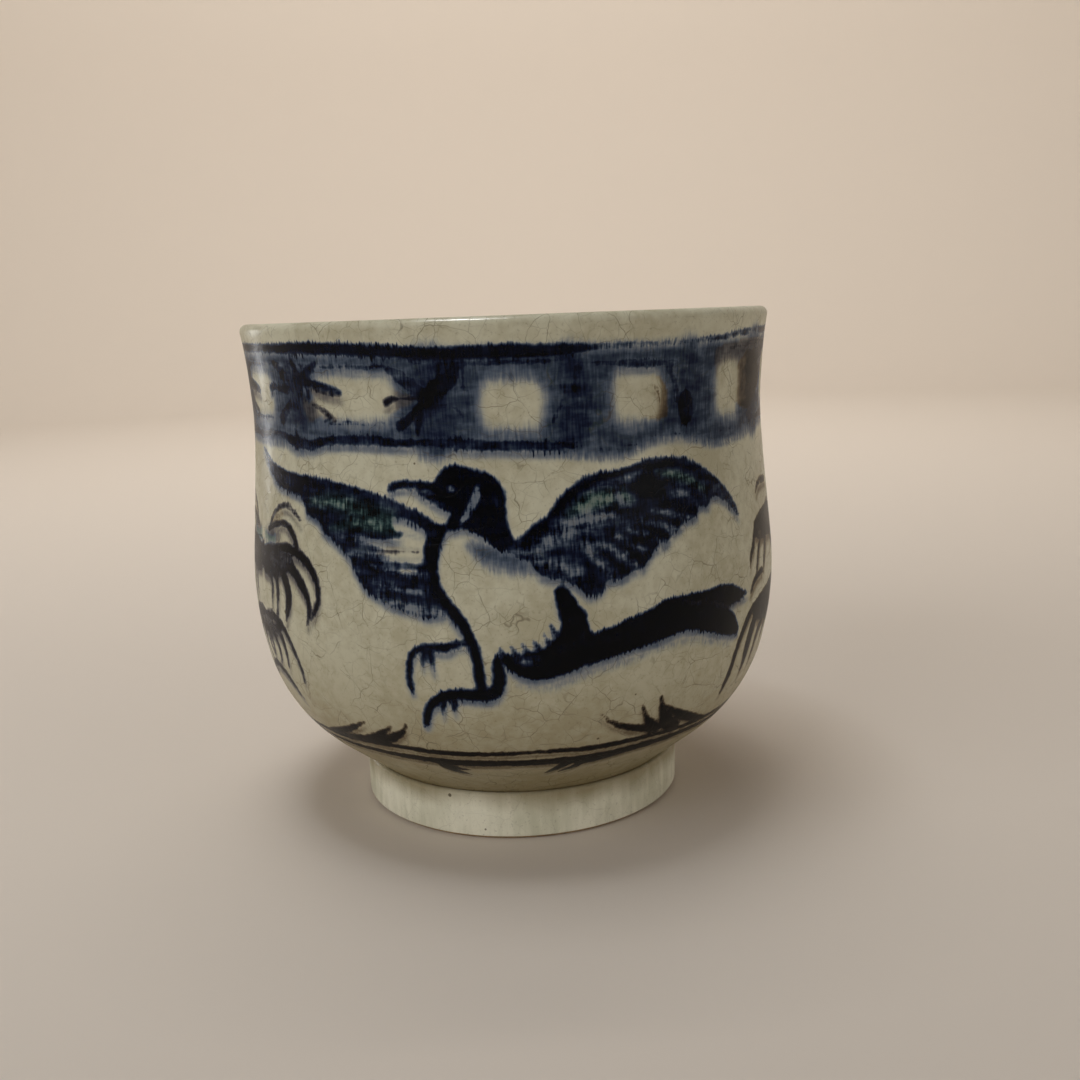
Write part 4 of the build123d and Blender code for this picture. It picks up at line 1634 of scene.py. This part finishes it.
    def pits(self, tree: NodeTree, place: NodeSocket) -> Node:
        """Pinholes and iron specks, here and there.

        Args:
            tree: the material's tree.
            place: where on the piece, in metres.

        Returns:
            The node that is one in a pit and nought outside it.
        """
        spots = add_node(
            tree, "ShaderNodeTexVoronoi", {"feature": "F1"},
            {"Vector": place, "Scale": per_feature(self.pit_cell)}
        )
        chance = add_node(tree, "ShaderNodeSeparateColor", {}, {0: spots.outputs["Color"]})
        size = add_node(
            tree, RANGE, {}, {"Value": chance, "From Min": 0.35, "To Max": 1.6 * self.pit / self.pit_cell}
        )
        depth = add_node(tree, MATH, MINUS, {0: size, 1: spots.outputs["Distance"]})
        return add_node(
            tree, RANGE, SMOOTH,
            {"Value": depth, "From Min": 0.0, "From Max": 0.4 * self.pit / self.pit_cell}
        )


@dataclass(frozen=True)
class PaintedGlaze(CrackledGlaze):
    """The same glaze over cobalt, iron and copper pigment, brushed on the raw clay.

    It gives the eye ink-dark strokes that break up along the brush, with washes between them. The
    pigment crept down in the melting glaze, so that each edge is combed into short upright hairs
    with a violet-blue haze.
    """

    cobalt: tuple = (
        (0.0, "AFB2A8"), (0.26, "82898F"), (0.44, "546072"), (0.6, "303C4E"), (0.76, "121C36"),
        (0.9, "04091C"), (1.0, "010307"),
    )
    iron: tuple = (
        (0.0, "ABA68F"), (0.28, "7D725C"), (0.48, "50463A"), (0.7, "221D1A"), (1.0, "060505"),
    )
    copper: tuple = (
        (0.0, "A9B0A4"), (0.28, "7C8A84"), (0.48, "48605F"), (0.7, "1C2E34"), (1.0, "03070A"),
    )
    # Real hairs are about 0.2 mm wide. They are drawn wider, so that they show.
    hair: float = 0.34 * MM
    hair_flat: float = 0.12
    calm: float = 0.75
    drift: float = 6.0 * MM
    streak: float = 1.3 * MM
    streak_flat: float = 0.4
    ragged: float = 1.1 * MM
    ragged_reach: float = 0.28
    soft: float = 0.42
    haze_soft: float = 1.1
    haze: float = 0.4

    def pigmented(
        self, tree: NodeTree, place: NodeSocket, ground: Node
    ) -> Node:
        """The painting under the glaze.

        Args:
            tree: the material's tree.
            place: where on the piece, in metres.
            ground: the node that gives the unpainted colour.

        Returns:
            The node that gives the colour with the painting.
        """
        upright = add_node(tree, VECTOR, TIMES, {0: place, 1: (1.0, 1.0, self.hair_flat)})
        combs = add_node(
            tree, NOISE, {}, {"Vector": upright, "Scale": per_feature(self.hair), "Detail": 1.0}
        )
        comb = add_node(tree, "ShaderNodeSeparateColor", {}, {0: combs.outputs["Color"]}).outputs
        level = add_node(tree, VECTOR, TIMES, {0: place, 1: (self.streak_flat, self.streak_flat, 1.0)})
        brushed = add_node(
            tree, NOISE, {}, {"Vector": level, "Scale": per_feature(self.streak), "Detail": 4.0}
        )
        broken = add_node(tree, MATH, TIMES_PLUS, {0: comb["Blue"], 1: 0.55, 2: brushed.outputs[0]})
        ragged = add_node(
            tree, NOISE, {}, {"Vector": place, "Scale": per_feature(self.ragged), "Detail": 1.0}
        )
        rag = add_node(
            tree, RANGE, UNCLAMPED,
            {"Value": ragged, "To Min": -self.ragged_reach, "To Max": self.ragged_reach}
        )
        hue = self.painted(tree, "hue")
        browner = add_node(tree, RANGE, {}, {"Value": hue, "From Min": 0.1, "From Max": 0.8})
        drift = add_node(tree, NOISE, {}, {"Vector": place, "Scale": per_feature(self.drift), "Detail": 1.0})
        melted = add_node(
            tree, RANGE, {}, {"Value": drift, "From Min": 0.36, "From Max": 0.64, "To Min": 0.3}
        )
        freer = add_node(tree, MATH, TIMES_PLUS, {0: browner, 1: -self.calm, 2: 1.0})
        creep = add_node(tree, MATH, TIMES, {0: melted, 1: freer})
        edge = add_node(
            tree, MATH, SMALLER,
            {
                0: self.crept(tree, "run_edge", comb["Red"], creep),
                1: self.crept(tree, "rise_edge", comb["Green"], creep),
            },
        )
        ragged_edge = add_node(tree, MATH, PLUS, {0: edge, 1: rag})
        ink = add_node(
            tree, RANGE, SMOOTH, {"Value": ragged_edge, "From Min": self.soft, "From Max": -self.soft}
        )
        load = self.broken_load(tree, broken)
        stroke_depth = add_node(tree, MATH, TIMES, {0: ink, 1: load})
        thin = add_node(
            tree, RANGE, UNCLAMPED,
            {"Value": broken, "From Min": 0.5, "From Max": 1.05, "To Min": 0.72, "To Max": 1.28}
        )
        risen = add_node(
            tree, MIX, NUMBERS,
            {0: comb["Green"], 2: self.painted(tree, "wash"), 3: self.painted(tree, "rise_wash")}
        )
        spread = add_node(tree, MIX, NUMBERS, {0: comb["Red"], 2: risen, 3: self.painted(tree, "run_wash")})
        washed = add_node(tree, MATH, TIMES, {0: spread, 1: thin})
        near = add_node(
            tree, RANGE, SMOOTH,
            {
                "Value": self.painted(tree, "run_edge"), "From Min": self.haze_soft,
                "From Max": -self.haze_soft, "To Max": self.haze,
            },
        )
        haze = add_node(tree, MATH, TIMES, {0: near, 1: thin})
        soft = add_node(tree, MATH, LARGER, {0: washed, 1: haze})
        depth = add_node(tree, MATH, LARGER, {0: stroke_depth, 1: soft})
        greener = add_node(tree, RANGE, {}, {"Value": hue, "From Min": -0.1, "From Max": -0.8})
        tints = [
            add_node(tree, RAMP, {"stops": stops}, {0: depth})
            for stops in (self.cobalt, self.iron, self.copper)
        ]
        blue_brown = add_node(tree, MIX, COLOURS, {0: browner, COLOUR_A: tints[0], COLOUR_B: tints[1]})
        tint = add_node(tree, MIX, COLOURS, {0: greener, COLOUR_A: blue_brown, COLOUR_B: tints[2]})
        cover = add_node(tree, RANGE, SMOOTH, {"Value": depth, "From Min": 0.0, "From Max": 0.32})
        return add_node(tree, MIX, COLOURS, {0: cover, COLOUR_A: ground, COLOUR_B: tint})

    def painted(self, tree: NodeTree, layer: str) -> NodeSocket:
        """What the painting left in one layer."""
        return add_node(tree, "ShaderNodeAttribute", {"attribute_name": layer}).outputs["Fac"]

    def crept(
        self, tree: NodeTree, layer: str, comb: NodeSocket,
        creep: Node,
    ) -> Node:
        """Moves the strokes' edges along the wall, hair by hair.

        Args:
            tree: the material's tree.
            layer: the layer that holds the distance to an edge as seen from further along.
            comb: how far each hair goes.
            creep: how freely the pigment crept here, from 0 to 1.

        Returns:
            The node that gives the distance to the combed edge, in millimetres.
        """
        reach = add_node(tree, RANGE, SMOOTH, {"Value": comb, "From Min": 0.38, "From Max": 0.82})
        share = add_node(tree, MATH, TIMES, {0: reach, 1: creep})
        return add_node(
            tree, MIX, NUMBERS,
            {0: share, 2: self.painted(tree, "stroke_edge"), 3: self.painted(tree, layer)}
        )

    def broken_load(self, tree: NodeTree, broken: Node) -> Node:
        """How dark a stroke is: a full brush covers evenly, and a drier one breaks up.

        Args:
            tree: the material's tree.
            broken: the streaks of the brush.

        Returns:
            The node that gives the pigment's depth.
        """
        load = self.painted(tree, "load")
        dryness = add_node(tree, MATH, MINUS, {0: 1.04, 1: load})
        streak = add_node(
            tree, RANGE, UNCLAMPED,
            {"Value": broken, "From Min": 0.5, "From Max": 1.05, "To Min": -1.4, "To Max": 1.4}
        )
        change = add_node(tree, MATH, TIMES, {0: streak, 1: dryness})
        return add_node(tree, MATH, {"operation": "ADD", "use_clamp": True}, {0: load, 1: change})


@dataclass(frozen=True)
class BareClay:
    """Fired stoneware with no glaze, turned on the wheel and wiped with a sponge.

    It gives the eye a dull sandy tan, with grit, iron specks and a darker flush near the glaze.
    """

    name: str
    pale: str = "B49A76"
    deep: str = "8F7552"
    speck: str = "4A3A28"
    grit: float = 0.35 * MM
    flush: float = 7.0 * MM
    roughness: float = 0.88
    grit_depth: float = 0.05 * MM

    def material(self) -> Material:
        """Makes the finish.

        Returns:
            The material.
        """
        material = bpy.data.materials.new(self.name)
        material.use_nodes = True
        tree = material.node_tree
        tree.nodes.clear()
        place = add_node(tree, "ShaderNodeTexCoord").outputs["Object"]
        flush = add_node(tree, NOISE, {}, {"Vector": place, "Scale": per_feature(self.flush), "Detail": 3.0})
        grit = add_node(tree, NOISE, {}, {"Vector": place, "Scale": per_feature(self.grit), "Detail": 3.0})
        both = add_node(tree, MATH, TIMES_PLUS, {0: grit, 1: 0.6, 2: flush.outputs[0]})
        share = add_node(tree, RANGE, {}, {"Value": both, "From Min": 0.55, "From Max": 1.05})
        base = add_node(
            tree, MIX, COLOURS, {0: share, COLOUR_A: linear(self.pale), COLOUR_B: linear(self.deep)}
        )
        spots = add_node(
            tree, "ShaderNodeTexVoronoi", {"feature": "F1"},
            {"Vector": place, "Scale": per_feature(5 * self.grit)}
        )
        dots = add_node(
            tree, RANGE, SMOOTH,
            {"Value": spots.outputs["Distance"], "From Min": 0.16, "From Max": 0.06, "To Max": 0.7}
        )
        colour = add_node(tree, MIX, COLOURS, {0: dots, COLOUR_A: base, COLOUR_B: linear(self.speck)})
        bump = add_node(tree, "ShaderNodeBump", {}, {"Height": grit, "Distance": self.grit_depth})
        shader = add_node(
            tree, "ShaderNodeBsdfPrincipled", {},
            {"Base Color": colour, "Roughness": self.roughness, "Normal": bump}
        )
        add_node(tree, "ShaderNodeOutputMaterial", {}, {"Surface": shader})
        return material


# The cup


@dataclass(frozen=True)
class Bowl:
    """The thrown bowl: its clay, and the coats outside and inside it."""

    wall: Wall
    columns: int = 464
    crowding: float = 0.4
    spacing: float = 0.46 * MM
    inner_columns: int = 260
    inner_spacing: float = 0.8 * MM
    hidden_spacing: float = 5.0 * MM
    throwing: Throwing = field(default_factory=Throwing)

    def build(self, tree: TurningTree, clay: Material) -> None:
        """Makes the coats and dresses the clay.

        Args:
            tree: the tree that turns the coats.
            clay: the finish of the clay under them.
        """
        outer = tree.turn(
            "outer_coat", self.wall.outer_section(self.spacing, self.hidden_spacing),
            self.columns, self.crowding, self.throwing,
            # Browner towards the foot: pooled glaze, with painted shade on the lower belly.
            PaintedGlaze("painted_glaze", pooled_and_shaded=0.8).material(),
        )
        painting(self.wall).transfer(outer.data)
        inner = tree.turn(
            "inner_coat", self.wall.inner_section(self.inner_spacing, self.hidden_spacing),
            self.inner_columns, 0.0, self.throwing,
            CrackledGlaze("plain_glaze", stained=0.75).material(),
        )
        settle(outer, "outer_glaze")
        settle(inner, "inner_glaze")
        dress(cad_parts["bowl"], clay)


@dataclass(frozen=True)
class FootRing:
    """The foot: its clay ring, and the coats outside it and in its recess."""

    foot: Foot
    columns: int = 240
    spacing: float = 0.5 * MM
    throwing: Throwing = field(
        default_factory=lambda: Throwing(ring_depth=0.05 * MM, sway=0.05 * MM, seed=8)
    )

    def build(self, tree: TurningTree, clay: Material) -> None:
        """Makes the ring and its coats.

        Args:
            tree: the tree that turns them.
            clay: the finish of the ring.
        """
        # Browner towards the top of the ring: pooled glaze, with painted shade in the crease under the bowl.
        glaze = CrackledGlaze(
            "foot_glaze", pale="F0EFDC", deep="D2D2BC", stained=0.14, mottle_flat=0.16, pooled_and_shaded=0.7,
            pool_and_shade_from=self.foot.height - 1.0 * MM, pool_and_shade_full=self.foot.height + 3.4 * MM,
        )
        recess = CrackledGlaze("recess_glaze", pale="C8C6AF", deep="B0AC8E", stained=0.6)
        for name, section, node, slot, material in (
            ("ring", self.foot.ring_section(self.spacing), "foot_ring", "clay", clay),
            ("ring_coat", self.foot.outer_section(self.spacing), "foot_glaze", "foot_glaze",
             glaze.material()),
            ("recess_coat", self.foot.recess_section(self.spacing), "recess_glaze", "plain_glaze",
             recess.material()),
        ):
            piece = tree.turn(name, section, self.columns, 0.0, self.throwing, material)
            settle(piece, node)


def settle(piece: Object, node: str) -> None:
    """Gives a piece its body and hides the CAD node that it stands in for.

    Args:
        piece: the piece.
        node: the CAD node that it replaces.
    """
    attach(piece, BODY)
    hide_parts(node)
    log.info("%s: %d faces in place of %s", piece.name, len(piece.data.polygons), node)


def dress(node: Object, material: Material) -> None:
    """Gives a carried-over node a better material through its object's slots.

    Args:
        node: the CAD node.
        material: its finish.
    """
    for slot in node.material_slots:
        slot.link = "OBJECT"
        slot.material = material
    log.info("%s: dressed in %s", node.name, material.name)


# Studio


@dataclass(frozen=True)
class Softbox:
    """An oblong soft light."""

    name: str
    place: tuple[float, float, float]
    width: float
    height: float
    watts: float
    colour: str = "FFFFFF"
    gloss_only: bool = False

    def build(self, target: Vector) -> None:
        """Hangs the light.

        Args:
            target: the point that it faces.
        """
        light = bpy.data.lights.new(self.name, "AREA")
        light.shape = "RECTANGLE"
        light.size = self.width
        light.size_y = self.height
        light.energy = self.watts
        light.color = linear(self.colour)[:3]
        lamp = bpy.data.objects.new(self.name, light)
        lamp.location = self.place
        lamp.rotation_euler = (target - lamp.location).to_track_quat("-Z", "Y").to_euler()
        lamp.visible_camera = False
        lamp.visible_diffuse = not self.gloss_only
        bpy.context.scene.collection.objects.link(lamp)


@dataclass(frozen=True)
class Studio:
    """A round pale sweep under soft light, and the camera level with the rim."""

    floor_radius: float = 0.95
    bend: float = 0.4
    top: float = 1.5
    segments: int = 128
    bend_steps: int = 24
    floor_roughness: float = 0.9
    floor_colour: str = "D6CDC2"
    air: str = "EFECE6"
    air_strength: float = 0.12
    distance: float = 0.2018
    lens: float = 38.1
    sensor: float = 36.0
    pitch: float = radians(11.19)
    yaw: float = radians(1.34)
    roll: float = radians(-2.12)
    lights: tuple[Softbox, ...] = (
        Softbox("key", (-0.56, -0.5, 0.44), 0.6, 0.5, 2.25),
        Softbox("fill", (0.7, -0.5, 0.3), 0.5, 0.5, 0.9),
        Softbox("top", (-0.1, 0.0, 0.9), 0.3, 0.3, 1.7),
        Softbox("lip_glint", (-0.12, -0.1, 0.7), 0.2, 0.06, 8.0, gloss_only=True),
        Softbox("edge_glint", (-0.6, 0.5, 0.1), 0.05, 0.2, 0.35, gloss_only=True),
    )
    backdrop: Softbox = Softbox("backdrop_light", (0.0, 0.35, 0.95), 0.5, 0.5, 8.8, "FFF8F0")

    def build(self, low: Vector, high: Vector) -> None:
        """Sets the floor, the lights and the camera round the cup.

        Args:
            low: the cup's lowest corner.
            high: its highest corner.
        """
        self.sweep(low.z)
        middle = (low + high) / 2
        for light in self.lights:
            light.build(middle)
        self.backdrop.build(Vector((0.0, self.floor_radius + self.bend, self.bend)))
        world = bpy.data.worlds.new("studio_air")
        world.use_nodes = True
        background = world.node_tree.nodes["Background"]
        background.inputs["Color"].default_value = linear(self.air)
        background.inputs["Strength"].default_value = self.air_strength
        bpy.context.scene.world = world
        bpy.context.scene.view_settings.view_transform = "Standard"
        self.camera(high.z)

    def sweep(self, floor: float) -> None:
        """The floor, curving up all round into the backdrop.

        Args:
            floor: the height of the floor.
        """
        profile = [(self.floor_radius, floor)]
        for i in range(1, self.bend_steps + 1):
            turn = pi / 2 * i / self.bend_steps
            profile.append(
                (self.floor_radius + self.bend * sin(turn), floor + self.bend * (1 - cos(turn)))
            )
        profile.append((self.floor_radius + self.bend, self.top))
        points = []
        for radius, height in profile:
            for i in range(self.segments):
                turn = 2 * pi * i / self.segments
                points.append((radius * cos(turn), radius * sin(turn), height))
        faces = [tuple(range(self.segments))]
        for row in range(len(profile) - 1):
            for i in range(self.segments):
                here = row * self.segments + i
                beside = row * self.segments + (i + 1) % self.segments
                faces.append((beside, here, here + self.segments, beside + self.segments))
        mesh = bpy.data.meshes.new("studio_sweep")
        mesh.from_pydata(points, [], faces)
        mesh.shade_smooth()
        material = bpy.data.materials.new("matt_paper")
        material.use_nodes = True
        shader = material.node_tree.nodes["Principled BSDF"]
        shader.inputs["Base Color"].default_value = linear(self.floor_colour)
        shader.inputs["Roughness"].default_value = self.floor_roughness
        mesh.materials.append(material)
        sweep = bpy.data.objects.new("studio_sweep", mesh)
        bpy.context.scene.collection.objects.link(sweep)

    def camera(self, rim: float) -> None:
        """The camera, in front of the cup and level with its rim.

        Args:
            rim: the height of the rim.
        """
        ahead = Vector((sin(self.yaw) * cos(self.pitch), cos(self.yaw) * cos(self.pitch),
                        -sin(self.pitch)))
        level = Vector((cos(self.yaw), -sin(self.yaw), 0.0))
        over = level.cross(ahead)
        right = level * cos(self.roll) + over * sin(self.roll)
        up = over * cos(self.roll) - level * sin(self.roll)
        lens = bpy.data.cameras.new("camera")
        lens.lens = self.lens
        lens.sensor_width = self.sensor
        lens.clip_start = MM
        camera = bpy.data.objects.new("camera", lens)
        turned = Matrix((right, up, -ahead)).transposed().to_4x4()
        camera.matrix_world = Matrix.Translation((0.0, -self.distance, rim)) @ turned
        bpy.context.scene.collection.objects.link(camera)
        bpy.context.scene.camera = camera


def main() -> None:
    """Builds the cup and the studio round it."""
    logging.basicConfig(level=logging.INFO, format="%(message)s")
    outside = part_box("outer_glaze")[1]
    foot_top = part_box("foot_ring")[1].z
    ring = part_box("foot_glaze")
    foot = Foot(
        radius=ring[1].x, height=foot_top, opening=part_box("recess_glaze")[1].x,
        glaze_stop=ring[0].z,
    )
    wall = Wall(
        height=outside.z, belly_radius=outside.x, foot_height=foot_top,
        foot_top_radius=foot.radius - foot.ledge,
    )
    tree = TurningTree()
    clay = BareClay("bare_clay").material()
    Bowl(wall).build(tree, clay)
    FootRing(foot).build(tree, clay)
    Studio().build(*CAD_BOX)


if __name__ == "__main__":
    main()
